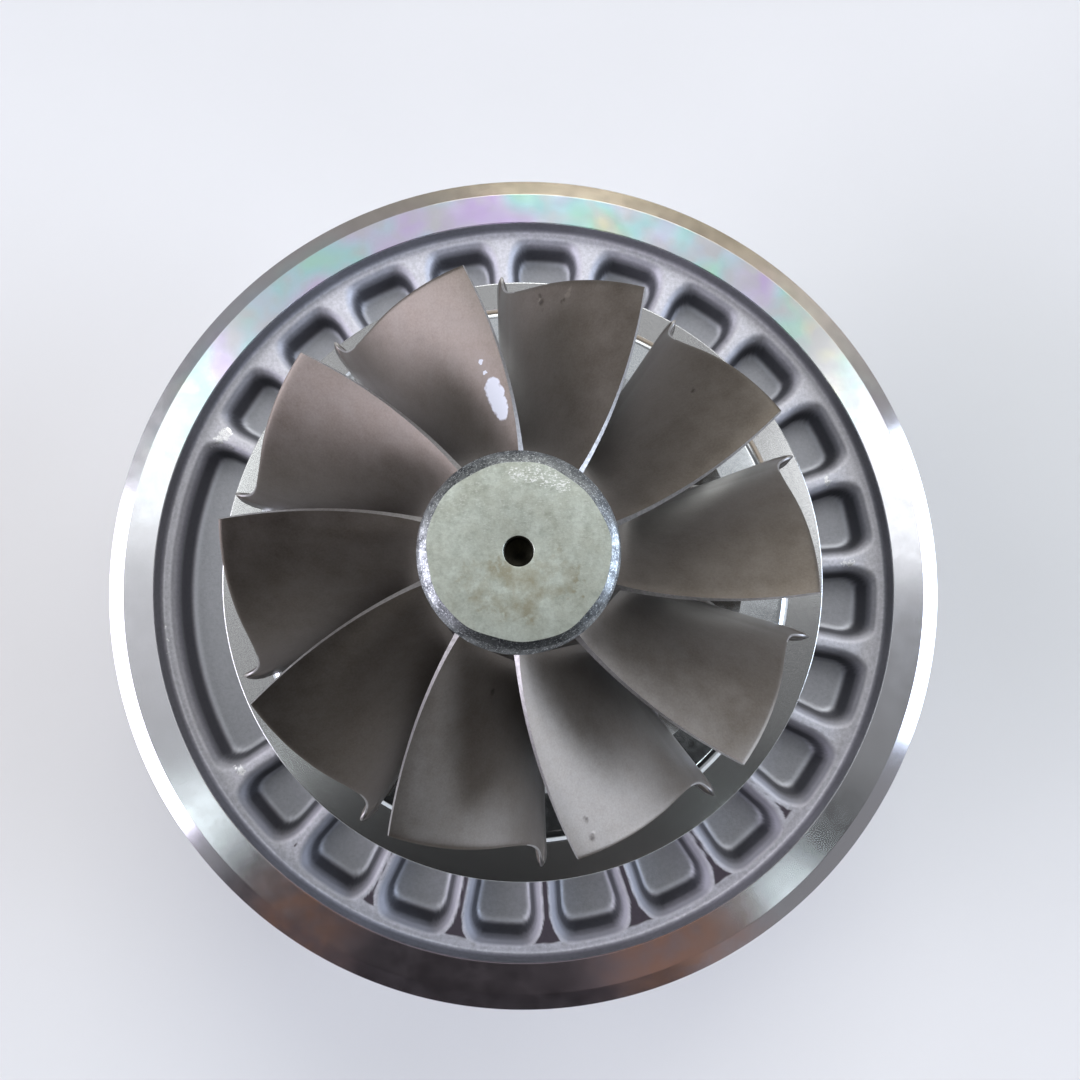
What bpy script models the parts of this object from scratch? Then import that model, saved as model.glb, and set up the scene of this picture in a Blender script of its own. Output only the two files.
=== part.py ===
# Turbocharger cartridge: back plate, bearing housing, heat shield and the rotor that spins in them.
# Units are metres. The rotor's axis is Z, with the turbine wheel at the top, and the origin lies on
# that axis in the plane where the back plate's clamp rim seats on the compressor cover.

import bpy
import bmesh
from math import cos, pi, radians, sin, sqrt
from mathutils import Matrix, Vector

GAP = 0.0003

# Clamp rim of the back plate
RIM_R = 0.1100
RIM_EDGE = 0.0040
RIM_FACE_Z = 0.0061
RIM_FACE_R = 0.1055
RIM_INNER_R = 0.0976
SPIGOT_R = 0.1010
SPIGOT_DEPTH = 0.0110
SEAL_GROOVE_R = 0.0982
SEAL_GROOVE_TOP = -0.0025
SEAL_GROOVE_BOTTOM = -0.0067
O_RING_R = 0.0017

# Cast pockets in the turbine side of the back plate
POCKET_PITCH = radians(15.0)
POCKET_FIRST = radians(86.4)
POCKET_COUNT = 20
LONG_POCKET_PITCHES = 4
POCKET_OUTER_R = 0.0906
POCKET_INNER_R = 0.0685
POCKET_FLOOR_Z = -0.0050
POCKET_DRAFT = 0.0019
POCKET_OUTER_DRAFT = 0.0029
WEB_FOOT_WIDTH = 0.0081
CROWN_Z = 0.0024
POCKET_CORNER = 0.0016
POCKET_CORNER_GROWTH = 0.0028
POCKET_CORNER_EASE = 0.3
POCKET_ARC_STEP = radians(7.5)
POCKETS_BEFORE_LONG = 16
RING_WALL_LEAN = 0.0005
RING_WALL_FOOT_Z = 0.0030
CROWN_OUTER_R = 0.0962
CROWN_TOP_R = 0.0950
CROWN_INNER_R = 0.0937
CROWN_EDGE_DROP = 0.0006
CROWN_INNER_DROP = 0.0002

# Middle of the back plate
HUB_FACE_R = 0.0630
HUB_FACE_Z = 0.0020
HUB_FACE_SLOPE = 0.0030
WHEEL_RECESS_R = 0.0650
WHEEL_RECESS_Z = -0.0070
PLATE_BORE_R = 0.0340
EDGE_BREAK = 0.0010
CUTTER_PAST = 0.0040
POCKET_CUTTER_PAST = 0.0010

# Bearing housing
HOUSING_FLANGE_R = 0.0620
HOUSING_FLANGE_TOP = 0.0090
WAIST_R = 0.0400
WAIST_FILLET = 0.0030
WAIST_TOP_Z = 0.0300
NECK_R = 0.0460
NECK_Z = 0.0345
TURBINE_FLANGE_R = 0.0690
TURBINE_FLANGE_Z = 0.0431
TURBINE_FLANGE_EDGE = 0.0036
TURBINE_FLANGE_CONE_R = 0.0620
TURBINE_FLANGE_CONE_DROP = 0.0030
TURBINE_FLANGE_CHAMFER = 0.0004
SHIELD_SEAT_R = 0.0604
SHIELD_SEAT_DEPTH = 0.0008
SNOUT_R = 0.0480
SNOUT_SHOULDER_Z = 0.0580
SNOUT_TOP_Z = 0.0640
SNOUT_LIP_R = 0.0200
SNOUT_LIP = 0.0010
HUB_CLEARANCE = 0.0005
BEARING_SEAT_R = 0.0120
PORT_Z = 0.0220
PAD_HEIGHT = 0.0220
PAD_ROOT = 0.0080
PAD_CORNER = 0.0060
DRAIN_PAD_WIDTH = 0.0480
DRAIN_PAD_R = 0.0600
DRAIN_HOLE_R = 0.0080
DRAIN_SCREW_X = 0.0165
INLET_PAD_WIDTH = 0.0300
INLET_PAD_R = 0.0580
INLET_HOLE_R = 0.0055
SCREW_HOLE_R = 0.0034
SCREW_HOLE_DEPTH = 0.0140

# Bolts that hold the bearing housing to the back plate
BOLT_CIRCLE_R = 0.0530
BOLT_ANGLES = (18.0, 54.0, 126.0, 162.0, 198.0, 234.0, 306.0, 342.0)
BOLT_SHANK_R = 0.0040
BOLT_HEAD_R = 0.0072
BOLT_HEAD_HEIGHT = 0.0060
BOLT_HOLE_BOTTOM = -0.0040
BOLT_END_SPACE = 0.0005
BOLT_OVERLAP = 0.0010

# Heat shield
SHIELD_R = 0.0564
SHIELD_TOP_Z = 0.0665
SHIELD_THICKNESS = 0.0012
SHIELD_CORNER = 0.0030
SHIELD_BRIM_R = 0.0600
SHIELD_HOLE_R = 0.0220
SHIELD_RING_R = 0.0460
SHIELD_DISH_R = 0.0380
SHIELD_DISH = 0.0008

# Oil seal plate and its retaining ring
SEAL_PLATE_FACE_Z = -0.0048
SEAL_PLATE_LIP = 0.0020
SEAL_PLATE_NECK = 0.0040
SEAL_PLATE_FOOT_R = 0.0070
SEAL_PLATE_NECK_Z = -0.0065
SEAL_PLATE_FUNNEL = 0.0030
RETAINING_WIDTH = 0.0030
RETAINING_HEIGHT = 0.0015

# Turbine wheel
TURBINE_BLADES = 10
INDUCER_R = 0.0571
EXDUCER_R = 0.0509
WHEEL_BACK_Z = 0.0715
BACK_DISC_TOP_Z = 0.0738
HOOK_Z = 0.0827
SHROUD_BEND = 0.0140
EXDUCER_TIP_Z = 0.1100
EXDUCER_ROOT_Z = 0.1157
SCALLOP_R = 0.0340
NOSE_R = 0.0164
NOSE_SHOULDER_Z = 0.1185
NOSE_FACE_R = 0.01435
NOSE_Z = 0.1202
CENTRE_DRILL_R = 0.0024
CENTRE_DRILL_DEPTH = 0.0050
BLADE_LEAD = radians(94.04)
BLADE_TWIST = radians(29.03)
TWIST_START_Z = 0.0810
TURBINE_HUB_R = 0.0130
TURBINE_HUB_BOTTOM = 0.0580
TURBINE_HUB_FLARE = 0.0060
TURBINE_HUB_FLARE_HEIGHT = 0.0040
TURBINE_HUB_CURVE = 2.2
BLADE_MIDDLE_Z = 0.0780
BLADE_ARM = 0.0090
BLADE_ARM_CURVE = 1.5
BLADE_ROOT_HALF = 0.0017
BLADE_ARM_HALF = 0.0010
BLADE_HOOK_HALF = 0.0009
BLADE_TIP_HALF = 0.0006
BLADE_ROOT_STEP = 0.0002
NOSE_START_STEP = 0.0004
SHROUD_STEPS = 4

# Shaft and bearings
BEARING_SEGMENTS = 32
COMPRESSOR_END_BEARING = (0.0030, 0.0110)
TURBINE_END_BEARING = (0.0420, 0.0540)
SHAFT_R = 0.0085
SHAFT_END_CHAMFER = 0.0010
SHAFT_SHOULDER_Z = -0.0010
STUB_R = 0.0060
STUB_END_Z = -0.0760
BEARING_OUTER_R = BEARING_SEAT_R - GAP
BEARING_INNER_R = SHAFT_R + GAP

# Compressor side
COMPRESSOR_BLADES = 6
COMPRESSOR_R = 0.0600
COMPRESSOR_BACK_Z = -0.0120
COMPRESSOR_RIM_Z = -0.0142
COMPRESSOR_EXIT_Z = -0.0202
COMPRESSOR_INDUCER_R = 0.0420
COMPRESSOR_BEND_Z = -0.0410
COMPRESSOR_LEAD_Z = -0.0560
COMPRESSOR_NOSE_Z = -0.0600
COMPRESSOR_NOSE_R = 0.0130
SPLITTER_LEAD_Z = -0.0420
COMPRESSOR_LEAN = radians(46.0)
LEAN_CURVE = 1.4
BACKSWEEP = radians(30.0)
BACKSWEEP_START_R = 0.0300
BACKSWEEP_CURVE = 1.5
COMPRESSOR_HUB_CURVE = 3.2
COMPRESSOR_BLADE_STARTS = (-0.0154, -0.0174)
COMPRESSOR_ROOT_HALF = 0.0011
COMPRESSOR_TIP_HALF = 0.0005
COMPRESSOR_NOSE_CHAMFER = 0.0010
INDUCER_STEPS = 3
BLADE_SIDE_POINTS = 6
HUB_PASSAGE_POINTS = 3
SLEEVE_R = 0.0115
NUT_R = 0.0125
NUT_LENGTH = 0.0100
BORE_R = STUB_R + GAP

TURN_SEGMENTS = 72
MERGE_DISTANCE = 1e-6


def clear_scene():
    for thing in list(bpy.data.objects):
        bpy.data.objects.remove(thing, do_unlink=True)


def make_material(name, colour, roughness, metallic):
    material = bpy.data.materials.new(name)
    material.use_nodes = True
    shader = material.node_tree.nodes["Principled BSDF"]
    shader.inputs["Base Color"].default_value = (*colour, 1.0)
    shader.inputs["Roughness"].default_value = roughness
    shader.inputs["Metallic"].default_value = metallic
    return material


def make_object(name, bm, material, parent=None, smooth_angle=radians(35.0)):
    """Turn a finished bmesh into a named object with its faces pointing out."""
    bmesh.ops.recalc_face_normals(bm, faces=bm.faces)
    mesh = bpy.data.meshes.new(name)
    bm.to_mesh(mesh)
    bm.free()
    if material:
        mesh.materials.append(material)
    mesh.shade_smooth()
    mesh.set_sharp_from_angle(angle=smooth_angle)
    thing = bpy.data.objects.new(name, mesh)
    bpy.context.scene.collection.objects.link(thing)
    if parent:
        thing.parent = parent
    return thing


def arc(centre_r, centre_z, radius, start, end, steps):
    """Points of an arc in a turned outline, angles in degrees from the outward direction."""
    points = []
    for i in range(steps + 1):
        angle = radians(start + (end - start) * i / steps)
        points.append((centre_r + radius * cos(angle), centre_z + radius * sin(angle)))
    return points


def turned_mesh(outline, segments=TURN_SEGMENTS):
    """Spin a closed outline of (radius, height) points round Z."""
    bm = bmesh.new()
    verts = [bm.verts.new((r, 0.0, z)) for r, z in outline]
    edges = [bm.edges.new((a, b)) for a, b in zip(verts, verts[1:] + verts[:1])]
    bmesh.ops.spin(bm, geom=verts + edges, cent=(0, 0, 0), axis=(0, 0, 1), angle=2.0 * pi,
                   steps=segments, use_merge=True)
    bmesh.ops.remove_doubles(bm, verts=bm.verts, dist=MERGE_DISTANCE)
    bmesh.ops.dissolve_degenerate(bm, edges=bm.edges, dist=MERGE_DISTANCE)
    return bm


def turned(name, outline, material, segments=TURN_SEGMENTS, parent=None):
    return make_object(name, turned_mesh(outline, segments), material, parent)


def prism_mesh(outline, bottom, top, top_outline=None):
    """Close the space between an outline of (x, y) points at two heights."""
    bm = bmesh.new()
    low = [bm.verts.new((x, y, bottom)) for x, y in outline]
    high = [bm.verts.new((x, y, top)) for x, y in (top_outline or outline)]
    count = len(low)
    for i in range(count):
        j = (i + 1) % count
        bm.faces.new((low[i], low[j], high[j], high[i]))
    bm.faces.new(low)
    bm.faces.new(high)
    return bm


def merge_meshes(meshes):
    """Put several bmeshes into one, as separate closed bodies."""
    whole = bmesh.new()
    for bm in meshes:
        scratch = bpy.data.meshes.new("scratch")
        bm.to_mesh(scratch)
        bm.free()
        whole.from_mesh(scratch)
        bpy.data.meshes.remove(scratch)
    return whole


def tool_object(name, bm):
    """An operand of a Boolean, kept out of the model."""
    tool = make_object(name, bm, None)
    tool.hide_render = True
    tool.display_type = "WIRE"
    return tool


def add_boolean(thing, tool, operation):
    modifier = thing.modifiers.new(tool.name, "BOOLEAN")
    modifier.operation = operation
    modifier.solver = "EXACT"
    modifier.object = tool


def hole_along_z(x, y, radius, bottom, top, segments=12):
    outline = [(x + radius * cos(2 * pi * i / segments), y + radius * sin(2 * pi * i / segments))
               for i in range(segments)]
    return prism_mesh(outline, bottom, top)


def hole_along_y(x, z, radius, start_y, end_y, segments=20):
    """A round cutter between two places on Y, standing at height z."""
    length = abs(end_y - start_y)
    bm = hole_along_z(0.0, 0.0, radius, -length / 2, length / 2, segments)
    place = Matrix.Translation((x, (start_y + end_y) / 2, z)) @ Matrix.Rotation(pi / 2, 4, "X")
    bmesh.ops.transform(bm, matrix=place, verts=bm.verts)
    return bm


# Back plate

def back_plate_outline():
    rim = [(RIM_R, 0.0), (RIM_R, RIM_EDGE), (RIM_FACE_R, RIM_FACE_Z), (RIM_INNER_R, RIM_FACE_Z)]
    wall = [(RIM_INNER_R - RING_WALL_LEAN, RING_WALL_FOOT_Z),
            (CROWN_OUTER_R, CROWN_Z - CROWN_EDGE_DROP)]
    crown = [(CROWN_TOP_R, CROWN_Z), (CROWN_INNER_R, CROWN_Z - CROWN_INNER_DROP)]
    middle = [(HUB_FACE_R + HUB_FACE_SLOPE, CROWN_Z - CROWN_EDGE_DROP), (HUB_FACE_R, HUB_FACE_Z),
              (PLATE_BORE_R, HUB_FACE_Z), (PLATE_BORE_R, WHEEL_RECESS_Z)]
    recess = [(WHEEL_RECESS_R, WHEEL_RECESS_Z), (WHEEL_RECESS_R + EDGE_BREAK, -SPIGOT_DEPTH)]
    spigot = [(SPIGOT_R - EDGE_BREAK, -SPIGOT_DEPTH), (SPIGOT_R, -SPIGOT_DEPTH + EDGE_BREAK),
              (SPIGOT_R, SEAL_GROOVE_BOTTOM), (SEAL_GROOVE_R, SEAL_GROOVE_BOTTOM),
              (SEAL_GROOVE_R, SEAL_GROOVE_TOP), (SPIGOT_R, SEAL_GROOVE_TOP), (SPIGOT_R, 0.0)]
    return rim + wall + crown + middle + recess + spigot


def pocket_outline(start, end, rise):
    """A pocket in plan: straight radial sides, arcs at both ends and rounded outer corners.
    rise is 0 at the floor and 1 at the crown, and widens it by the draft of its walls."""
    outer = POCKET_OUTER_R + POCKET_OUTER_DRAFT * rise
    inner = POCKET_INNER_R - POCKET_DRAFT * rise
    half_web = WEB_FOOT_WIDTH / 2 - POCKET_DRAFT * rise
    corner = POCKET_CORNER + POCKET_CORNER_GROWTH * rise

    def side_angle(radius, edge, sense):
        return edge + sense * half_web / radius

    ease = POCKET_CORNER_EASE * corner
    steps = round((end - start) / POCKET_ARC_STEP)
    points = [(inner, side_angle(inner, start, 1))]
    points.append((outer - corner, side_angle(outer - corner, start, 1)))
    points.append((outer - ease, side_angle(outer, start, 1) + ease / outer))
    first = side_angle(outer, start, 1) + corner / outer
    last = side_angle(outer, end, -1) - corner / outer
    points += [(outer, first + (last - first) * i / steps) for i in range(steps + 1)]
    points.append((outer - ease, side_angle(outer, end, -1) - ease / outer))
    points.append((outer - corner, side_angle(outer - corner, end, -1)))
    points.append((inner, side_angle(inner, end, -1)))
    first, last = side_angle(inner, end, -1), side_angle(inner, start, 1)
    points += [(inner, first + (last - first) * i / steps) for i in range(1, steps)]
    return [(r * cos(a), r * sin(a)) for r, a in points]


def pocket_edges():
    """Start and end angle of each pocket, anticlockwise from +X as seen from the turbine."""
    edges = []
    for i in range(POCKET_COUNT):
        place = i if i < POCKETS_BEFORE_LONG else i + LONG_POCKET_PITCHES
        centre = POCKET_FIRST - place * POCKET_PITCH
        edges.append((centre - POCKET_PITCH / 2, centre + POCKET_PITCH / 2))
    long_end = POCKET_FIRST - (POCKETS_BEFORE_LONG - 0.5) * POCKET_PITCH
    edges.append((long_end - LONG_POCKET_PITCHES * POCKET_PITCH, long_end))
    return edges


def bolt_places():
    return [(BOLT_CIRCLE_R * cos(radians(a)), BOLT_CIRCLE_R * sin(radians(a))) for a in BOLT_ANGLES]


def build_back_plate(aluminium):
    plate = turned("back_plate", back_plate_outline(), aluminium)
    top_z = CROWN_Z + POCKET_CUTTER_PAST
    rise = (top_z - POCKET_FLOOR_Z) / (CROWN_Z - POCKET_FLOOR_Z)
    pockets = [prism_mesh(pocket_outline(a, b, 0.0), POCKET_FLOOR_Z, top_z,
                          pocket_outline(a, b, rise)) for a, b in pocket_edges()]
    add_boolean(plate, tool_object("pocket_cutter", merge_meshes(pockets)), "DIFFERENCE")
    holes = [hole_along_z(x, y, BOLT_SHANK_R + GAP, BOLT_HOLE_BOTTOM, HUB_FACE_Z + CUTTER_PAST)
             for x, y in bolt_places()]
    add_boolean(plate, tool_object("plate_hole_cutter", merge_meshes(holes)), "DIFFERENCE")
    return plate


def build_cover_o_ring(rubber):
    centre_r = SEAL_GROOVE_R + GAP + O_RING_R
    centre_z = (SEAL_GROOVE_TOP + SEAL_GROOVE_BOTTOM) / 2
    section = arc(centre_r, centre_z, O_RING_R, 0, 360, 6)[:-1]
    return turned("cover_o_ring", section, rubber, 40)


# Bearing housing

def housing_outline():
    flange = [(HOUSING_FLANGE_R, HUB_FACE_Z + GAP), (HOUSING_FLANGE_R, HOUSING_FLANGE_TOP)]
    waist = [(WAIST_R + WAIST_FILLET, HOUSING_FLANGE_TOP),
             (WAIST_R, HOUSING_FLANGE_TOP + WAIST_FILLET), (WAIST_R, WAIST_TOP_Z), (NECK_R, NECK_Z)]
    edge_z = TURBINE_FLANGE_Z - TURBINE_FLANGE_EDGE
    turbine_flange = [(TURBINE_FLANGE_CONE_R, edge_z - TURBINE_FLANGE_CONE_DROP),
                      (TURBINE_FLANGE_R, edge_z),
                      (TURBINE_FLANGE_R, TURBINE_FLANGE_Z - TURBINE_FLANGE_CHAMFER),
                      (TURBINE_FLANGE_R - TURBINE_FLANGE_CHAMFER, TURBINE_FLANGE_Z),
                      (SHIELD_SEAT_R, TURBINE_FLANGE_Z),
                      (SHIELD_SEAT_R, TURBINE_FLANGE_Z - SHIELD_SEAT_DEPTH),
                      (SNOUT_R, TURBINE_FLANGE_Z - SHIELD_SEAT_DEPTH)]
    hub_space_r = TURBINE_HUB_R + HUB_CLEARANCE
    hub_space_z = TURBINE_HUB_BOTTOM - SNOUT_LIP
    snout = [(SNOUT_R, SNOUT_SHOULDER_Z), (SNOUT_LIP_R, SNOUT_TOP_Z - SNOUT_LIP),
             (SNOUT_LIP_R - SNOUT_LIP, SNOUT_TOP_Z), (hub_space_r, SNOUT_TOP_Z),
             (hub_space_r, hub_space_z)]
    bore = [(BEARING_SEAT_R, hub_space_z), (BEARING_SEAT_R, HUB_FACE_Z + GAP)]
    return flange + waist + turbine_flange + snout + bore


def pad_mesh(width, reach, side):
    """A port pad that grows out of the waist towards +Y or -Y."""
    bm = bmesh.new()
    inner = WAIST_R - PAD_ROOT
    centre = Vector((0.0, side * (inner + reach) / 2, PORT_Z))
    size = Matrix.Diagonal((width, reach - inner, PAD_HEIGHT, 1.0))
    bmesh.ops.create_cube(bm, size=1.0, matrix=Matrix.Translation(centre) @ size)
    long_edges = [e for e in bm.edges
                  if abs(e.verts[0].co.y - e.verts[1].co.y) > (reach - inner) / 2]
    bmesh.ops.bevel(bm, geom=long_edges, offset=PAD_CORNER, segments=3, affect="EDGES",
                    profile=0.5)
    return bm


def build_bearing_housing(iron):
    housing = turned("bearing_housing", housing_outline(), iron, 60)
    drain_pad = tool_object("drain_pad", pad_mesh(DRAIN_PAD_WIDTH, DRAIN_PAD_R, -1))
    inlet_pad = tool_object("inlet_pad", pad_mesh(INLET_PAD_WIDTH, INLET_PAD_R, 1))
    add_boolean(housing, drain_pad, "UNION")
    add_boolean(housing, inlet_pad, "UNION")
    drain_past, inlet_past = -(DRAIN_PAD_R + CUTTER_PAST), INLET_PAD_R + CUTTER_PAST
    cuts = [hole_along_y(0.0, PORT_Z, DRAIN_HOLE_R, drain_past, -SHAFT_R),
            hole_along_y(0.0, PORT_Z, INLET_HOLE_R, SHAFT_R, inlet_past, 16)]
    for x in (-DRAIN_SCREW_X, DRAIN_SCREW_X):
        cuts.append(hole_along_y(x, PORT_Z, SCREW_HOLE_R, drain_past,
                                 -(DRAIN_PAD_R - SCREW_HOLE_DEPTH), 10))
    for x, y in bolt_places():
        cuts.append(hole_along_z(x, y, BOLT_SHANK_R + GAP, HUB_FACE_Z - CUTTER_PAST,
                                 HOUSING_FLANGE_TOP + CUTTER_PAST))
    add_boolean(housing, tool_object("housing_hole_cutter", merge_meshes(cuts)), "DIFFERENCE")
    return housing


def build_heat_shield(steel):
    t = SHIELD_THICKNESS
    brim_z = TURBINE_FLANGE_Z - SHIELD_SEAT_DEPTH + GAP
    corner_r = SHIELD_R - SHIELD_CORNER
    corner_z = SHIELD_TOP_Z - SHIELD_CORNER
    outside = [(SHIELD_BRIM_R, brim_z), (SHIELD_BRIM_R, brim_z + t), (SHIELD_R, brim_z + t)]
    outside += arc(corner_r, corner_z, SHIELD_CORNER, 0, 90, 3)
    dish_z = SHIELD_TOP_Z - SHIELD_DISH
    outside += [(SHIELD_RING_R, SHIELD_TOP_Z), (SHIELD_DISH_R, dish_z), (SHIELD_HOLE_R, dish_z)]
    inside = [(SHIELD_HOLE_R, dish_z - t), (SHIELD_DISH_R, dish_z - t),
              (SHIELD_RING_R, SHIELD_TOP_Z - t)]
    inside += arc(corner_r, corner_z, SHIELD_CORNER - t, 90, 0, 2)
    inside += [(SHIELD_R - t, brim_z)]
    return turned("heat_shield", outside + inside, steel, 56)


def build_bolts(steel):
    """Hex bolts through the housing flange into the back plate, one node each."""
    for number, (x, y) in enumerate(bolt_places(), 1):
        head_z = HOUSING_FLANGE_TOP + GAP
        head = hole_along_z(0, 0, BOLT_HEAD_R, head_z, head_z + BOLT_HEAD_HEIGHT, 6)
        shank = hole_along_z(0, 0, BOLT_SHANK_R, BOLT_HOLE_BOTTOM + BOLT_END_SPACE,
                             head_z + BOLT_OVERLAP)
        bolt = make_object("housing_bolt_%d" % number, head, steel)
        bolt.location = (x, y, 0.0)
        shank_tool = tool_object("housing_bolt_shank_%d" % number, shank)
        shank_tool.location = (x, y, 0.0)
        add_boolean(bolt, shank_tool, "UNION")


def build_seal_plate(iron, steel):
    """Oil seal plate in the back plate's bore, with the ring that keeps it there."""
    outer = PLATE_BORE_R - GAP
    inner = SLEEVE_R + GAP
    outline = [(outer, SEAL_PLATE_FACE_Z), (outer, HUB_FACE_Z),
               (SLEEVE_R + SEAL_PLATE_FUNNEL, HUB_FACE_Z), (inner, HUB_FACE_Z - SEAL_PLATE_LIP),
               (inner, SEAL_PLATE_NECK_Z), (SLEEVE_R + SEAL_PLATE_NECK, SEAL_PLATE_NECK_Z),
               (SLEEVE_R + SEAL_PLATE_FOOT_R, SEAL_PLATE_FACE_Z)]
    turned("oil_seal_plate", outline, iron, 36)
    ring_top = SEAL_PLATE_FACE_Z - GAP
    ring = [(outer, ring_top), (outer - RETAINING_WIDTH, ring_top),
            (outer - RETAINING_WIDTH, ring_top - RETAINING_HEIGHT),
            (outer, ring_top - RETAINING_HEIGHT)]
    turned("retaining_ring", ring, steel, 36)


def build_bearings(bronze):
    spans = {"journal_bearing_compressor_end": COMPRESSOR_END_BEARING,
             "journal_bearing_turbine_end": TURBINE_END_BEARING}
    for name, (low, high) in spans.items():
        outline = [(BEARING_OUTER_R, low), (BEARING_OUTER_R, high),
                   (BEARING_INNER_R, high), (BEARING_INNER_R, low)]
        turned(name, outline, bronze, BEARING_SEGMENTS)


# Wheels

def bladed_ring(bm, z, blades, first_angle, spoke, passage):
    """One level ring of a bladed wheel. spoke(k) gives the blade's side as (radius, angle
    offset, half thickness) from root to tip, and passage the radii of the hub between blades."""
    ring = []
    pitch = 2 * pi / blades
    for k in range(blades):
        side = spoke(k)
        centre = first_angle + k * pitch
        right = [(r, centre + a - t / r) for r, a, t in side]
        left = [(r, centre + a + t / r) for r, a, t in reversed(side)]
        root_end = left[-1][1]
        next_side = spoke((k + 1) % blades)
        next_root = centre + pitch + next_side[0][1] - next_side[0][2] / next_side[0][0]
        steps = len(passage) + 1
        between = [(r, root_end + (next_root - root_end) * (i + 1) / steps)
                   for i, r in enumerate(passage)]
        for r, a in right + left + between:
            ring.append(bm.verts.new((r * cos(a), r * sin(a), z)))
    return ring


def circle_ring(bm, count, radius, z, phase=0.0):
    return [bm.verts.new((radius * cos(phase + 2 * pi * i / count),
                          radius * sin(phase + 2 * pi * i / count), z)) for i in range(count)]


def join_rings(bm, rings):
    for low, high in zip(rings, rings[1:]):
        count = len(low)
        for i in range(count):
            j = (i + 1) % count
            bm.faces.new((low[i], low[j], high[j], high[i]))


def turbine_angle(z):
    """Angle of the blade that starts at the top: its fibres are radial and turn with height."""
    if z <= TWIST_START_Z:
        return BLADE_LEAD
    part = (z - TWIST_START_Z) / (EXDUCER_TIP_Z - TWIST_START_Z)
    return BLADE_LEAD - BLADE_TWIST * part ** 2


def turbine_hub_r(z):
    if z <= BACK_DISC_TOP_Z:
        return SCALLOP_R
    part = (z - BACK_DISC_TOP_Z) / (EXDUCER_ROOT_Z - BACK_DISC_TOP_Z)
    return NOSE_R + (SCALLOP_R - NOSE_R) * max(0.0, 1.0 - part) ** TURBINE_HUB_CURVE


def turbine_levels():
    """Heights and tip radii of the rings that the blades pass through."""
    levels = [(WHEEL_BACK_Z, INDUCER_R), (BACK_DISC_TOP_Z, INDUCER_R),
              (BLADE_MIDDLE_Z, INDUCER_R), (HOOK_Z, INDUCER_R)]
    bend_top = HOOK_Z + SHROUD_BEND
    root_r = turbine_hub_r(EXDUCER_ROOT_Z) + NOSE_START_STEP
    parts = [step / SHROUD_STEPS for step in range(1, SHROUD_STEPS + 1)]
    for part in parts:
        s = pi / 2 * part
        levels.append((HOOK_Z + SHROUD_BEND * (1 - cos(s)),
                       INDUCER_R - (INDUCER_R - EXDUCER_R) * sin(s)))
    for part in parts:
        levels.append((bend_top + (EXDUCER_TIP_Z - bend_top) * part, EXDUCER_R))
    for part in parts:
        levels.append((EXDUCER_TIP_Z + (EXDUCER_ROOT_Z - EXDUCER_TIP_Z) * part,
                       EXDUCER_R + (root_r - EXDUCER_R) * part))
    return levels


def build_turbine_wheel(alloy, parent):
    bm = bmesh.new()
    passage_steps = 3
    count = TURBINE_BLADES * (2 * 2 + passage_steps)
    phase = turbine_angle(WHEEL_BACK_Z)
    rings = [circle_ring(bm, count, r, z, phase) for r, z in
             ((TURBINE_HUB_R, TURBINE_HUB_BOTTOM),
              (TURBINE_HUB_R, WHEEL_BACK_Z - TURBINE_HUB_FLARE_HEIGHT),
              (TURBINE_HUB_R + TURBINE_HUB_FLARE, WHEEL_BACK_Z))]
    for z, tip_r in turbine_levels():
        hub_r = turbine_hub_r(z)
        low = max(0.0, (HOOK_Z - z) / (HOOK_Z - WHEEL_BACK_Z))
        root_r = hub_r + BLADE_ROOT_STEP + BLADE_ARM * low ** BLADE_ARM_CURVE
        root_t = BLADE_ROOT_HALF + BLADE_ARM_HALF * low
        tip_t = BLADE_HOOK_HALF if z <= HOOK_Z else BLADE_TIP_HALF
        spoke = [(root_r, 0.0, root_t), (tip_r, 0.0, tip_t)]
        dip = hub_r + BLADE_ARM_HALF * low
        passage = [dip, hub_r, dip]
        rings.append(bladed_ring(bm, z, TURBINE_BLADES, turbine_angle(z), lambda k: spoke, passage))
    nose_phase = turbine_angle(EXDUCER_ROOT_Z) - BLADE_ROOT_HALF / NOSE_R
    for r, z in ((NOSE_R, NOSE_SHOULDER_Z), (NOSE_FACE_R, NOSE_Z), (CENTRE_DRILL_R, NOSE_Z),
                 (CENTRE_DRILL_R, NOSE_Z - CENTRE_DRILL_DEPTH)):
        rings.append(circle_ring(bm, count, r, z, nose_phase))
    join_rings(bm, rings)
    bm.faces.new(rings[0])
    bm.faces.new(rings[-1])
    return make_object("turbine_wheel", bm, alloy, parent)


def compressor_hub_r(z):
    """The hub's radius falls from the rim to the nose as a quarter of a long oval."""
    span = COMPRESSOR_RIM_Z - COMPRESSOR_LEAD_Z
    part = min(1.0, max(0.0, (COMPRESSOR_RIM_Z - z) / span))
    fall = sqrt(1 - (1 - part) ** COMPRESSOR_HUB_CURVE)
    return COMPRESSOR_R - (COMPRESSOR_R - COMPRESSOR_NOSE_R) * fall


def compressor_blade_angle(r, z):
    """A blade leans with height towards the nose and sweeps back with radius at its exit."""
    lean = max(0.0, (COMPRESSOR_EXIT_Z - z) / (COMPRESSOR_EXIT_Z - COMPRESSOR_LEAD_Z))
    sweep = max(0.0, (r - BACKSWEEP_START_R) / (COMPRESSOR_R - BACKSWEEP_START_R))
    return COMPRESSOR_LEAN * lean ** LEAN_CURVE - BACKSWEEP * sweep ** BACKSWEEP_CURVE


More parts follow.
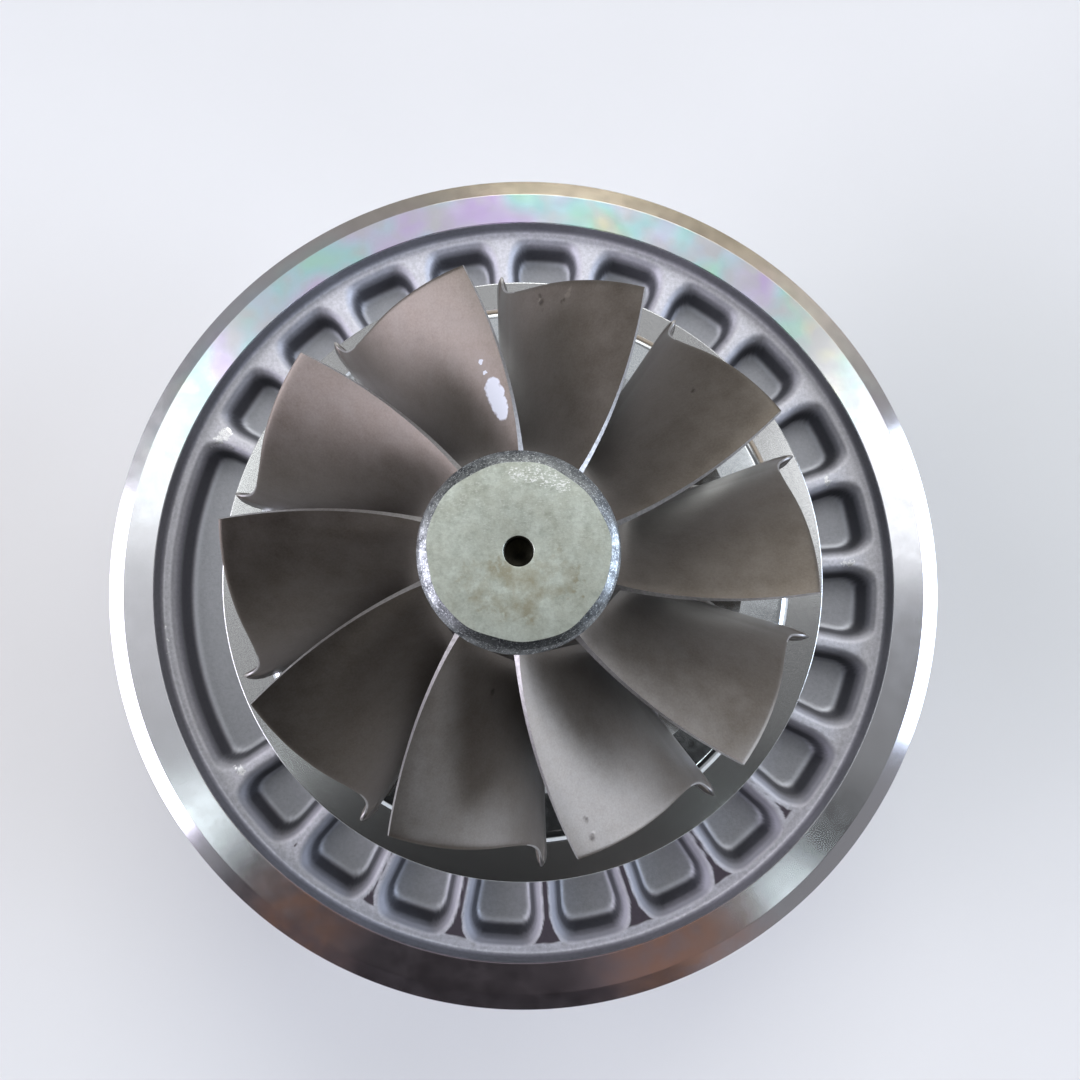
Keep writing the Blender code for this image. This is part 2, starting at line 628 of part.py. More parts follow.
def compressor_levels():
    """Height, tip radius, and whether full and splitter blades stand at each level. Two levels
    at one height make a flat leading edge."""
    levels = [(z, COMPRESSOR_R, True, True) for z in COMPRESSOR_BLADE_STARTS + (COMPRESSOR_EXIT_Z,)]
    bend = COMPRESSOR_EXIT_Z - COMPRESSOR_BEND_Z
    for step in range(1, SHROUD_STEPS + 1):
        s = pi / 2 * step / SHROUD_STEPS
        levels.append((COMPRESSOR_EXIT_Z - bend * (1 - cos(s)),
                       COMPRESSOR_R - (COMPRESSOR_R - COMPRESSOR_INDUCER_R) * sin(s), True, True))
    levels.append((SPLITTER_LEAD_Z, COMPRESSOR_INDUCER_R, True, True))
    for step in range(INDUCER_STEPS + 1):
        z = SPLITTER_LEAD_Z + (COMPRESSOR_LEAD_Z - SPLITTER_LEAD_Z) * step / INDUCER_STEPS
        levels.append((z, COMPRESSOR_INDUCER_R, True, False))
    levels.append((COMPRESSOR_LEAD_Z, COMPRESSOR_INDUCER_R, False, False))
    return levels


def blade_side(hub_r, tip_r, z):
    """A compressor blade's side from root to tip as (radius, angle, half thickness)."""
    side = []
    for i in range(BLADE_SIDE_POINTS):
        part = i / (BLADE_SIDE_POINTS - 1)
        r = hub_r + (tip_r - hub_r) * part
        half = COMPRESSOR_ROOT_HALF + (COMPRESSOR_TIP_HALF - COMPRESSOR_ROOT_HALF) * part
        side.append((r, compressor_blade_angle(r, z), half))
    return side


def build_compressor_wheel(aluminium, parent):
    """Full and splitter blades in turn on one hub, the nose pointing down. Where a blade doesn't
    stand, the points of its sides fall together on the hub and are merged."""
    bm = bmesh.new()
    spokes = 2 * COMPRESSOR_BLADES

    def level(z, radius, sides):
        return bladed_ring(bm, z, spokes, 0.0, lambda k: sides[k % 2],
                           [radius] * HUB_PASSAGE_POINTS)

    bare = (False, False)
    rim_point = blade_side(COMPRESSOR_R, COMPRESSOR_R, COMPRESSOR_RIM_Z)[-1:] * BLADE_SIDE_POINTS
    rows = [(z, bare, level(z, COMPRESSOR_R, (rim_point, rim_point)))
            for z in (COMPRESSOR_BACK_Z, COMPRESSOR_RIM_Z)]
    for z, tip_r, *standing in compressor_levels():
        hub_r = compressor_hub_r(z)
        side = blade_side(hub_r, tip_r, z)
        sides = [side if stands else side[:1] * BLADE_SIDE_POINTS for stands in standing]
        rows.append((z, standing, level(z, hub_r, sides)))
    nose_r = COMPRESSOR_NOSE_R - COMPRESSOR_NOSE_CHAMFER
    nose_angle = compressor_blade_angle(COMPRESSOR_NOSE_R, COMPRESSOR_LEAD_Z)
    nose_point = [(nose_r, nose_angle, COMPRESSOR_ROOT_HALF)] * BLADE_SIDE_POINTS
    rows.append((COMPRESSOR_NOSE_Z, bare,
                 level(COMPRESSOR_NOSE_Z, nose_r, (nose_point, nose_point))))
    for (low_z, low_stands, low), (high_z, high_stands, high) in zip(rows, rows[1:]):
        if low_z != high_z:
            join_rings(bm, [low, high])
            continue
        for k in range(spokes):
            if low_stands[k % 2] and not high_stands[k % 2]:
                start = k * len(low) // spokes
                bm.faces.new(low[start:start + 2 * BLADE_SIDE_POINTS])
    bm.faces.new(rows[0][-1])
    bm.faces.new(rows[-1][-1])
    bmesh.ops.remove_doubles(bm, verts=bm.verts, dist=MERGE_DISTANCE)
    twisted = [face for face in bm.faces if len(face.verts) == 4]
    bmesh.ops.triangulate(bm, faces=twisted, quad_method="SHORT_EDGE")
    wheel = make_object("compressor_wheel", bm, aluminium, parent)
    bore = hole_along_z(0, 0, BORE_R, COMPRESSOR_NOSE_Z - CUTTER_PAST,
                        COMPRESSOR_BACK_Z + CUTTER_PAST, BEARING_SEGMENTS)
    add_boolean(wheel, tool_object("wheel_bore_cutter", bore), "DIFFERENCE")
    return wheel


def build_shaft(steel, parent):
    outline = [(0.0, TURBINE_HUB_BOTTOM - GAP), (SHAFT_R, TURBINE_HUB_BOTTOM - GAP),
               (SHAFT_R, SHAFT_SHOULDER_Z), (STUB_R, SHAFT_SHOULDER_Z),
               (STUB_R, STUB_END_Z + SHAFT_END_CHAMFER),
               (STUB_R - SHAFT_END_CHAMFER, STUB_END_Z), (0.0, STUB_END_Z)]
    turned("rotor_shaft", outline, steel, BEARING_SEGMENTS, parent)


def build_sleeve(steel, parent):
    top, bottom = SHAFT_SHOULDER_Z - GAP, COMPRESSOR_BACK_Z + GAP
    outline = [(SLEEVE_R, top), (SLEEVE_R, bottom), (BORE_R, bottom), (BORE_R, top)]
    turned("thrust_sleeve", outline, steel, BEARING_SEGMENTS, parent)


def build_lock_nut(steel, parent):
    top = COMPRESSOR_NOSE_Z - GAP
    nut = make_object("lock_nut", hole_along_z(0, 0, NUT_R, top - NUT_LENGTH, top, 6), steel, parent)
    bore = tool_object("nut_bore_cutter",
                       hole_along_z(0, 0, BORE_R, top - NUT_LENGTH - CUTTER_PAST,
                                    top + CUTTER_PAST, BEARING_SEGMENTS))
    add_boolean(nut, bore, "DIFFERENCE")
    return nut


def main():
    clear_scene()
    aluminium = make_material("cast_aluminium", (0.46, 0.46, 0.48), 0.42, 1.0)
    iron = make_material("machined_iron", (0.36, 0.36, 0.36), 0.45, 1.0)
    shield_steel = make_material("stainless_sheet", (0.74, 0.75, 0.74), 0.22, 1.0)
    alloy = make_material("nickel_alloy", (0.27, 0.25, 0.23), 0.50, 1.0)
    wheel_aluminium = make_material("milled_aluminium", (0.66, 0.66, 0.67), 0.30, 1.0)
    steel = make_material("bright_steel", (0.50, 0.50, 0.51), 0.32, 1.0)
    bronze = make_material("bearing_bronze", (0.52, 0.38, 0.18), 0.38, 1.0)
    rubber = make_material("seal_rubber", (0.03, 0.03, 0.03), 0.65, 0.0)

    build_back_plate(aluminium)
    build_cover_o_ring(rubber)
    build_bearing_housing(iron)
    build_heat_shield(shield_steel)
    build_bolts(steel)
    build_seal_plate(iron, steel)
    build_bearings(bronze)

    rotor = bpy.data.objects.new("rotor_axis", None)
    bpy.context.scene.collection.objects.link(rotor)
    build_turbine_wheel(alloy, rotor)
    build_compressor_wheel(wheel_aluminium, rotor)
    build_shaft(steel, rotor)
    build_sleeve(steel, rotor)
    build_lock_nut(steel, rotor)


main()
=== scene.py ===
import bmesh
import bpy
import numpy as np
from math import acos, atan2, ceil, cos, hypot, pi, radians, sin, tan
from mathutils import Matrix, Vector


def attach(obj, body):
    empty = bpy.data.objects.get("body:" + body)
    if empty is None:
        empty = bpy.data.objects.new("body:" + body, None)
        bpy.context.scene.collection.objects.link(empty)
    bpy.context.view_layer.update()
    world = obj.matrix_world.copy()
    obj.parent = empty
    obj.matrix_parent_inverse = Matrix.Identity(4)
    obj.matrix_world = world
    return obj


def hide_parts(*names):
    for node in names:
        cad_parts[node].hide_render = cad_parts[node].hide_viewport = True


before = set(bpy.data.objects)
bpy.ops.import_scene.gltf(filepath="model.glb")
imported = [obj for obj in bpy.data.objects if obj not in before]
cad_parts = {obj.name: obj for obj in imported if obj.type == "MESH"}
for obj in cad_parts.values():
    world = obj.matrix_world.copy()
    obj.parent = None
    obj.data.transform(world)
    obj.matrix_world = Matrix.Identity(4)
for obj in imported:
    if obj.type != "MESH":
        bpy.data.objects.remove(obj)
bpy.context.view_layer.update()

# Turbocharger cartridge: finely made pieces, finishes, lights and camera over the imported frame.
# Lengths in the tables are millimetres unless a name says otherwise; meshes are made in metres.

MM = 0.001
PER_METRE = 1000.0
BODY, ROTOR = "cartridge_body", "rotor"


# Mesh helpers

def circle(segments):
    """The angles of a full turn in equal steps."""
    return 2 * pi * np.arange(segments) / segments


def polar_points(r, angle, z):
    """Points (x, y, z) from radii, angles in radians and heights."""
    r, angle, z = np.broadcast_arrays(r, angle, z)
    return np.stack([r * np.cos(angle), r * np.sin(angle), z], -1)


def spun(points, angle):
    """Points turned about +Z by an angle in radians."""
    return points @ np.array([[cos(angle), sin(angle), 0], [-sin(angle), cos(angle), 0], [0, 0, 1]])


def bumps(value, low, high):
    """0 below low, 1 above high, and straight between them."""
    return np.clip((value - low) / (high - low), 0.0, 1.0)


def fillet(points, closed=True):
    """Round the corners of an outline of (radius, height, corner radius) points."""
    out = []
    count = len(points)
    for i, (r, z, corner) in enumerate(points):
        here = np.array([r, z], float)
        if corner <= 0 or (not closed and i in (0, count - 1)):
            out.append(here)
            continue
        a = np.array(points[i - 1][:2], float) - here
        b = np.array(points[(i + 1) % count][:2], float) - here
        la, lb = np.linalg.norm(a), np.linalg.norm(b)
        a, b = a / la, b / lb
        half = acos(max(-1.0, min(1.0, float(a @ b)))) / 2
        if half > radians(88) or half < radians(1):
            out.append(here)
            continue
        cut = min(corner / tan(half), 0.48 * la, 0.48 * lb)
        radius = cut * tan(half)
        centre = here + (a + b) / np.linalg.norm(a + b) * radius / sin(half)
        start, end = here + a * cut - centre, here + b * cut - centre
        first = atan2(start[1], start[0])
        turn = (atan2(end[1], end[0]) - first + pi) % (2 * pi) - pi
        steps = max(2, ceil(abs(turn) / radians(15)))
        for k in range(steps + 1):
            angle = first + turn * k / steps
            out.append(centre + radius * np.array([cos(angle), sin(angle)]))
    return np.array(out)


def grid_faces(rows, cols, wrap_rows=False, wrap_cols=False):
    """The four-cornered faces of a grid of points, one row after another."""
    r = np.arange(rows - (0 if wrap_rows else 1))
    c = np.arange(cols - (0 if wrap_cols else 1))
    r, c = np.meshgrid(r, c, indexing="ij")
    here, beyond, c2 = r * cols, (r + 1) % rows * cols, (c + 1) % cols
    return np.stack([here + c, here + c2, beyond + c2, beyond + c], -1).reshape(-1, 4)


def prism_faces(count, start=0):
    """The faces of a prism between two rings of count points, the first point numbered start."""
    far = start + count
    sides = [[start + k, start + (k + 1) % count, far + (k + 1) % count, far + k]
             for k in range(count)]
    return sides + [list(range(start, far)), list(range(far, far + count))]


def end_cap(row, width):
    """The faces that close one row of a flat ring, whose second half runs back beside the first."""
    base = row * width
    return [[base + k, base + k + 1, base + width - 2 - k, base + width - 1 - k]
            for k in range(width // 2 - 1)]


def add_object(name, data):
    thing = bpy.data.objects.new(name, data)
    bpy.context.scene.collection.objects.link(thing)
    return thing


def make_piece(name, verts, faces, body, materials, slot, replaced, recalc=True, sharp=40.0,
               kinds=None, marks=None):
    """A piece of the object from vertices in millimetres. kinds gives each face's material,
    marks gives named values for each vertex, and sharp is in degrees."""
    mesh = bpy.data.meshes.new(name)
    mesh.from_pydata((np.asarray(verts) * MM).tolist(), [], [list(map(int, f)) for f in faces])
    for material in materials:
        mesh.materials.append(material)
    if kinds is not None:
        mesh.polygons.foreach_set("material_index", np.asarray(kinds, np.int32))
    for label, values in (marks or {}).items():
        layer = mesh.attributes.new(label, "FLOAT", "POINT")
        layer.data.foreach_set("value", np.asarray(values, np.float32))
    bm = bmesh.new()
    bm.from_mesh(mesh)
    bmesh.ops.remove_doubles(bm, verts=bm.verts, dist=2e-7)
    if recalc:
        bmesh.ops.recalc_face_normals(bm, faces=bm.faces)
    bm.to_mesh(mesh)
    bm.free()
    mesh.shade_smooth()
    mesh.set_sharp_from_angle(angle=radians(sharp))
    thing = add_object(name, mesh)
    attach(thing, body)
    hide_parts(*replaced)
    return thing


def turned(name, outline, body, materials, slot, replaced, segments, closed=True, weighted=True,
           **more):
    """A piece turned about Z from an outline of (radius, height) points."""
    r, z = np.asarray(outline).T[..., None]
    thing = make_piece(name, polar_points(r, circle(segments), z).reshape(-1, 3),
                       grid_faces(len(r), segments, closed, True), body, materials, slot, replaced,
                       **more)
    if weighted:
        modifier = thing.modifiers.new("even_normals", "WEIGHTED_NORMAL")
        modifier.keep_sharp = True
    return thing


# Finishes

WAVE_SCALE = PER_METRE / 20.0    # a wave texture of scale 1 turns through 20 radians in a metre


class Nodes:
    """A tree of shader nodes, with short calls for the nodes used here."""

    def __init__(self, tree):
        self.tree = tree

    def link(self, value, socket):
        if isinstance(value, bpy.types.NodeSocket):
            self.tree.links.new(value, socket)
        else:
            socket.default_value = value

    def node(self, kind, inputs=(), **settings):
        made = self.tree.nodes.new(kind)
        for key, value in settings.items():
            setattr(made, key, value)
        for key, value in dict(inputs).items():
            self.link(value, made.inputs[key])
        return made

    def maths(self, operation, a, b=0.0):
        return self.node("ShaderNodeMath", {0: a, 1: b}, operation=operation).outputs[0]

    def times(self, product, *others):
        for other in others:
            product = self.maths("MULTIPLY", product, other)
        return product

    def less(self, a, b):
        return self.maths("SUBTRACT", a, b)

    def spread(self, value, low, high, to_low=0.0, to_high=1.0, interpolation="LINEAR"):
        """The range from low to high spread over the range from to_low to to_high."""
        made = self.node("ShaderNodeMapRange", {"Value": value, "From Min": low, "From Max": high,
                                                "To Min": to_low, "To Max": to_high},
                         interpolation_type=interpolation)
        return made.outputs["Result"]

    def follow(self, noise, at_low, at_high):
        """A value that goes with a noise, over most of the noise's range."""
        return self.spread(noise, 0.3, 0.7, at_low, at_high)

    def off(self, value, middle):
        """How far a value is from a middle one."""
        return self.maths("ABSOLUTE", self.less(value, middle))

    def band(self, value, middle, outer, inner, strength=1.0):
        """strength within inner of the middle, falling to 0 at outer."""
        return self.spread(self.off(value, middle), outer, inner, 0.0, strength)


class Finish(Nodes):
    """A material of shader nodes, read in the object's own coordinates. Scales are given per
    millimetre; radii and heights that are compared with polar() and along() are in metres.
    colour, metallic and roughness are what a viewer that reads no nodes shows."""

    def __init__(self, name, colour, metallic, roughness):
        self.material = bpy.data.materials.new(name)
        self.material.use_nodes = True
        super().__init__(self.material.node_tree)
        self.shader = self.tree.nodes["Principled BSDF"]
        self.put("Base Color", (*colour, 1.0))
        self.put("Metallic", metallic)
        self.put("Roughness", roughness)
        coordinates = self.node("ShaderNodeTexCoord")
        self.place, self.facing = coordinates.outputs["Object"], coordinates.outputs["Normal"]
        self.ragged = None

    def put(self, socket, value):
        self.link(value, self.shader.inputs[socket])

    def done(self, colour, roughness, normal):
        self.put("Base Color", colour)
        self.put("Roughness", roughness)
        self.put("Normal", normal)
        return self.material

    def vector(self, operation, a, b=(0.0, 0.0, 0.0), output="Vector"):
        return self.node("ShaderNodeVectorMath", {0: a, 1: b}, operation=operation).outputs[output]

    def along(self, axis):
        return self.node("ShaderNodeSeparateXYZ", {0: self.place}).outputs[axis]

    def noise(self, per_mm, detail=4.0, rough=0.55, stretch=None):
        spot = self.vector("MULTIPLY", self.place, stretch) if stretch else self.place
        return self.node("ShaderNodeTexNoise", {"Vector": spot, "Scale": per_mm * PER_METRE,
                                                "Detail": detail, "Roughness": rough}).outputs["Fac"]

    def waves(self, per_mm, warp, detail, **settings):
        """Fine lines, with per_mm radians of the wave to a millimetre."""
        return self.node("ShaderNodeTexWave", {"Vector": self.place, "Scale": per_mm * WAVE_SCALE,
                                               "Distortion": warp, "Detail": detail},
                         **settings).outputs["Fac"]

    def rings(self, per_mm, warp=0.3):
        """Fine turned grooves round the rotor's axis."""
        return self.waves(per_mm, warp, 2.0, wave_type="RINGS", rings_direction="Z")

    def ramp(self, value, stops):
        """A colour ramp. The first and the second stop are its two ends."""
        made = self.node("ShaderNodeValToRGB", {"Fac": value})
        ramp = made.color_ramp
        for i, (at, colour) in enumerate(stops):
            element = ramp.elements[i] if i < 2 else ramp.elements.new(at)
            element.position = at
            element.color = (*colour, 1.0)
        return made.outputs["Color"]

    def over(self, base, *layers):
        """Colours laid one over another, from (amount, colour) pairs."""
        for amount, colour in layers:
            made = self.node("ShaderNodeMix", data_type="RGBA")
            if not isinstance(colour, bpy.types.NodeSocket):
                colour = (*colour, 1.0)
            for index, value in ((0, amount), (6, base), (7, colour)):
                self.link(value, made.inputs[index])
            base = made.outputs[2]
        return base

    def mark(self, label):
        return self.node("ShaderNodeAttribute", attribute_name=label).outputs["Fac"]

    def bump(self, height, depth_mm, strength, before=None):
        inputs = {"Height": height, "Distance": depth_mm * MM, "Strength": strength}
        if before is not None:
            inputs["Normal"] = before
        return self.node("ShaderNodeBump", inputs).outputs["Normal"]

    def facing_up(self):
        """1 on faces that look towards +Z, so that a mark stays on one side of a thin blade."""
        parts = self.node("ShaderNodeSeparateXYZ", {0: self.facing})
        return self.spread(parts.outputs["Z"], 0.1, 0.3)

    def spots(self, places, ragged_mm=3.5, core=0.8):
        """1 close to any of the (x, y, z, reach) places in millimetres, with ragged edges.
        core is the part of the reach that is full strength."""
        if self.ragged is None:
            noise = self.node("ShaderNodeTexNoise", {"Vector": self.place, "Scale": 900.0,
                                                     "Detail": 2.0})
            self.ragged = self.vector("SUBTRACT", noise.outputs["Color"], (0.5, 0.5, 0.5))
        push = self.vector("MULTIPLY", self.ragged, (ragged_mm * MM,) * 3)
        at = self.vector("ADD", self.place, push)
        total = None
        for x, y, z, reach in places:
            away = self.vector("DISTANCE", at, (x * MM, y * MM, z * MM), "Value")
            near = self.spread(away, reach * MM, core * reach * MM)
            total = near if total is None else self.maths("MAXIMUM", total, near)
        return total

    def polar(self):
        """The angle round Z as a part of half a turn, from -1 to 1, and the radius in metres."""
        angle = self.maths("ARCTAN2", self.along("Y"), self.along("X"))
        flat = self.vector("MULTIPLY", self.place, (1.0, 1.0, 0.0))
        return self.maths("DIVIDE", angle, pi), self.vector("LENGTH", flat, output="Value")

    def brushed_round(self, amount):
        """Turned metal: its reflections are drawn out across the grooves."""
        self.put("Anisotropic", amount)
        self.put("Anisotropic Rotation", 0.25)
        tangent = self.node("ShaderNodeTangent", direction_type="RADIAL", axis="Z")
        self.put("Tangent", tangent.outputs["Tangent"])


# Colours of the painted reflection on the rim's flat ring. The first two are the ramp's ends.
PALE_SHEEN_COLOURS = [(0.28, (0.94, 0.95, 0.7)), (0.72, (0.76, 0.62, 0.97)), (0.37, (0.58, 0.96, 0.8)),
                (0.46, (0.58, 0.92, 0.94)), (0.54, (0.7, 0.86, 0.99)), (0.64, (0.8, 0.74, 0.98))]
CONE_EDGE = 0.1053, 0.1057       # metres: radii between which the flat ring turns into the cone

# Small marks, as (x, y, z, reach).
NICKS = [(-80.5, 40.2, 2.4, 1.7), (-82.4, 38.6, 2.4, 1.2), (-84.2, 36.2, 2.4, 1.0),
         (-79.1, 36.6, 2.2, 0.7), (-74.7, -49.2, 2.4, 1.2), (-76.4, -47.6, 2.4, 0.8),
         (81.6, 27.4, 2.4, 0.9), (87.4, 5.2, 2.4, 1.0), (85.6, 5.5, 2.4, 0.7),
         (73.4, -15.2, 2.4, 0.8), (-95.3, -12.0, 2.5, 0.6), (-94.9, -15.1, 2.5, 0.6),
         (-94.2, -18.5, 2.5, 0.5)]
DENTS = [(3.8, 48.6, 96.7, 0.8), (3.7, 47.2, 97.4, 0.9), (3.7, 45.9, 98.1, 0.7),
         (7.4, 46.4, 101.4, 0.7), (30.8, 30.0, 101.7, 0.6), (31.8, 30.7, 101.4, 0.4),
         (11.1, -43.7, 108.8, 0.7), (12.1, -46.8, 108.7, 0.7), (-4.6, -23.1, 103.8, 0.6)]
DENT_LIPS = [(8.4, 47.4, 101.7, 0.8), (8.9, 48.4, 101.8, 0.7), (3.3, 47.9, 97.0, 0.5),
             (11.7, 45.2, 103.6, 0.5), (12.7, -45.9, 108.6, 0.6)]
PAINT = [(-4.5, 28.2, 111.6, 1.9), (-3.9, 26.8, 112.0, 2.1), (-3.3, 25.2, 112.4, 2.0),
         (-2.8, 24.0, 112.8, 1.6), (-5.9, 31.0, 110.9, 0.4), (-6.6, 32.9, 110.6, 0.5)]
NOSE_STAINS = [(0.5, -5.5, 120.2, 6.0), (6.0, -4.0, 120.2, 4.0), (-5.5, -5.0, 120.2, 4.0)]
NOSE_SCRATCHES = [(-0.4, 12.6, 120.2, 1.4), (2.2, 12.5, 120.2, 1.7), (4.8, 11.7, 120.2, 1.7),
                  (7.2, 10.5, 120.2, 1.5), (3.4, 14.9, 119.8, 1.1), (6.0, 14.1, 119.8, 1.0)]


def rim_finish():
    """Fine-turned aluminium. Its colour holds painted reflections: pale colours of light split by
    the grooves towards +Y, gold on the cone towards +Y and a purple tint towards -Y.
    """
    f = Finish("turned_rim", (0.74, 0.75, 0.77), 1.0, 0.26)
    f.brushed_round(0.75)
    angle, radius = f.polar()
    height = f.along("Z")
    # Painted reflection: pale colours, as the grooves split the light, laid in patches on the flat
    # ring towards +Y only.
    pale = f.ramp(f.noise(0.065, 1.0, 0.4), PALE_SHEEN_COLOURS)
    patch = f.spread(f.noise(0.1, 2.0), 0.34, 0.56, 0.15, 1.0)
    upper = f.band(angle, 0.52, 0.44, 0.22, 0.95)
    on_ring = f.spread(height, 0.004, 0.0058)
    speck = f.spread(f.noise(5.5, 2.0, 0.7), 0.5, 0.75, 0.0, 0.22)
    cone = f.spread(radius, *CONE_EDGE, 0.0, 0.7)
    # Painted reflection: gold on the cone towards +Y.
    gold_reflection = f.times(f.band(angle, 0.42, 0.34, 0.1), f.spread(radius, *CONE_EDGE, 0.0, 0.85))
    # Painted reflection: a purple tint on the cone and the flat ring towards -Y.
    purple_reflection_tint = f.times(f.band(angle, -0.53, 0.24, 0.15, 0.75), f.spread(height, 0.0036, 0.0042))
    rust_left = f.band(angle, -0.685, 0.065, 0.02)
    rust_right = f.band(angle, -0.375, 0.085, 0.03)
    rust = f.times(f.maths("MAXIMUM", rust_left, rust_right),
                   f.spread(f.noise(0.14, 4.0), 0.34, 0.58, 0.35, 0.85),
                   f.spread(height, 0.003, 0.0045))
    colour = f.over((0.74, 0.75, 0.78, 1.0), (f.times(upper, patch, on_ring), pale),
                    (speck, (0.4, 0.36, 0.36)), (cone, (0.58, 0.57, 0.62)),
                    (gold_reflection, (0.56, 0.47, 0.33)), (purple_reflection_tint, (0.48, 0.39, 0.455)),
                    (rust, (0.52, 0.29, 0.2)))
    f.put("Metallic", f.less(1.0, f.times(rust, 0.2)))
    return f.done(colour, f.follow(f.noise(0.25, 3.0), 0.17, 0.22),
                  f.bump(f.rings(3.0, 0.1), 0.003, 0.25))


def cast_finish():
    """As-cast aluminium: matte, grainy, bright where it is nicked, with painted shade on the pocket
    walls, the pocket floors and the web edges.
    """
    f = Finish("cast_aluminium_skin", (0.4, 0.4, 0.43), 0.9, 0.5)
    grain = f.noise(1.1, 4.0, 0.65)
    base = f.ramp(grain, [(0.25, (0.5, 0.5, 0.535)), (0.75, (0.78, 0.775, 0.825))])
    rough_shaded_edge, nicks = f.mark("rough_shaded_edge"), f.spots(NICKS)
    # Painted shade: the pocket walls and the rise round the outside darkened nearly to black.
    colour = f.over(base, (f.times(f.mark("wall_shade"), 0.8), (0.04, 0.041, 0.05)),
                    # Painted shade: the pocket floors darkened.
                    (f.times(f.mark("floor"), 0.45), (0.2, 0.225, 0.245)),
                    (f.times(f.mark("outline"), 0.55), (0.5, 0.53, 0.57)),
                    # Painted shade: the web edges darkened, fully towards -Y and half as much
                    # elsewhere; the same mark makes them rougher.
                    (f.times(rough_shaded_edge, 0.65), (0.24, 0.24, 0.265)),
                    (f.mark("cut"), (0.105, 0.088, 0.105)), (nicks, (0.92, 0.92, 0.93)))
    rough = f.less(f.follow(grain, 0.52, 0.68), f.times(nicks, 0.3))
    return f.done(colour, f.maths("ADD", rough, f.times(rough_shaded_edge, 0.16)),
                  f.bump(grain, 0.1, 0.5, f.bump(f.noise(3.4, 3.0, 0.7), 0.05, 0.55)))


def turned_iron_finish():
    """A turned iron face with a fine bright speckle."""
    light, dark, roughness = (0.57, 0.58, 0.58), (0.17, 0.165, 0.17), 0.17
    f = Finish("turned_iron_face", light, 1.0, roughness)
    f.brushed_round(0.55)
    speck = f.noise(6.5, 2.0, 0.8)
    bright = f.spread(f.noise(8.0, 1.0), 0.62, 0.72, 0.0, 0.8)
    base = f.ramp(speck, [(0.3, dark), (0.5, light)])
    return f.done(f.over(base, (bright, (0.85, 0.88, 0.86))),
                  f.follow(speck, roughness + 0.05, roughness - 0.05),
                  f.bump(f.rings(2.2, 0.1), 0.004, 0.3, f.bump(speck, 0.004, 0.4)))


def shield_finish():
    """Bright pressed sheet, with a painted tan reflection and a painted shadow line round the upper
    side of its rim.
    """
    f = Finish("pressed_stainless", (0.78, 0.79, 0.79), 1.0, 0.2)
    speck = f.noise(7.0, 3.0, 0.7)
    angle, radius = f.polar()
    upper_side = f.band(angle, 0.36, 0.36, 0.24, 0.8)
    # Painted reflection: a tan band round the rim's edge on the upper side.
    tan_reflection = f.times(f.spread(radius, 0.0544, 0.055), upper_side)
    # Painted shadow: a dark line inside that band on the upper side.
    shadow_line = f.times(f.band(radius, 0.0541, 0.0005, 0.0002), upper_side)
    base = f.ramp(speck, [(0.3, (0.52, 0.56, 0.59)), (0.6, (0.78, 0.82, 0.84))])
    return f.done(f.over(base, (tan_reflection, (0.33, 0.24, 0.14)), (shadow_line, (0.06, 0.06, 0.065))),
                  f.follow(f.noise(0.6, 4.0), 0.08, 0.15),
                  f.bump(f.noise(0.1, 2.0), 0.15, 0.25, f.bump(speck, 0.003, 0.4)))


def blade_finish(name="blasted_alloy", least_shade=0.0):
    """Cast and blasted alloy, brownish grey, with small dents and one dab of white paint. Painted
    shade darkens it lower down, most near the hub; the second argument sets the least painted shade
    everywhere. The dents are painted as dark spots with painted highlights on their lips.
    """
    f = Finish(name, (0.21, 0.19, 0.18), 1.0, 0.44)
    cloud = f.noise(0.16, 4.0, 0.6)
    grain = f.noise(2.6, 3.0, 0.7)
    # Painted shade: darker lower down, most near the hub.
    deep_shade = f.times(f.spread(f.along("Z"), 0.078, 0.106, 0.72, 0.0),
                   f.spread(f.polar()[1], 0.03, 0.052, 1.0, 0.4))
    up = f.facing_up()
    # Painted shade in the dents and painted highlight on their lips, on the faces that look up.
    dents = f.times(f.spots(DENTS, 1.6, 0.1), 0.8, up)
    lip_highlight = f.times(f.spots(DENT_LIPS, 1.6, 0.1), 0.5, up)
    paint = f.times(f.spots(PAINT, 1.2), up)
    base = f.ramp(cloud, [(0.25, (0.106, 0.09, 0.074)), (0.75, (0.15, 0.133, 0.116))])
    colour = f.over(
        base, (f.spread(f.noise(0.6, 3.0, 0.6), 0.45, 0.75, 0.0, 0.2), (0.075, 0.064, 0.056)),
        (f.spread(grain, 0.35, 0.7, 0.0, 0.18), (0.24, 0.22, 0.205)),
        (f.maths("MAXIMUM", deep_shade, least_shade), (0.014, 0.012, 0.013)),
        (dents, (0.03, 0.023, 0.02)), (lip_highlight, (0.26, 0.23, 0.2)), (paint, (0.54, 0.57, 0.63)))
    f.put("Metallic", f.less(1.0, paint))
    return f.done(colour, f.follow(cloud, 0.4, 0.47),
                  f.bump(grain, 0.03, 0.5, f.bump(f.noise(0.25, 1.0), 0.06, 0.25)))


def ground_finish(name, colour, roughness):
    f = Finish(name, colour, 1.0, roughness)
    streak = f.noise(1.6, 3.0, 0.6)
    return f.done(f.ramp(streak, [(0.3, tuple(0.72 * c for c in colour)), (0.65, colour)]),
                  f.follow(streak, roughness + 0.08, roughness - 0.05),
                  f.bump(f.noise(4.0, 3.0), 0.012, 0.5))


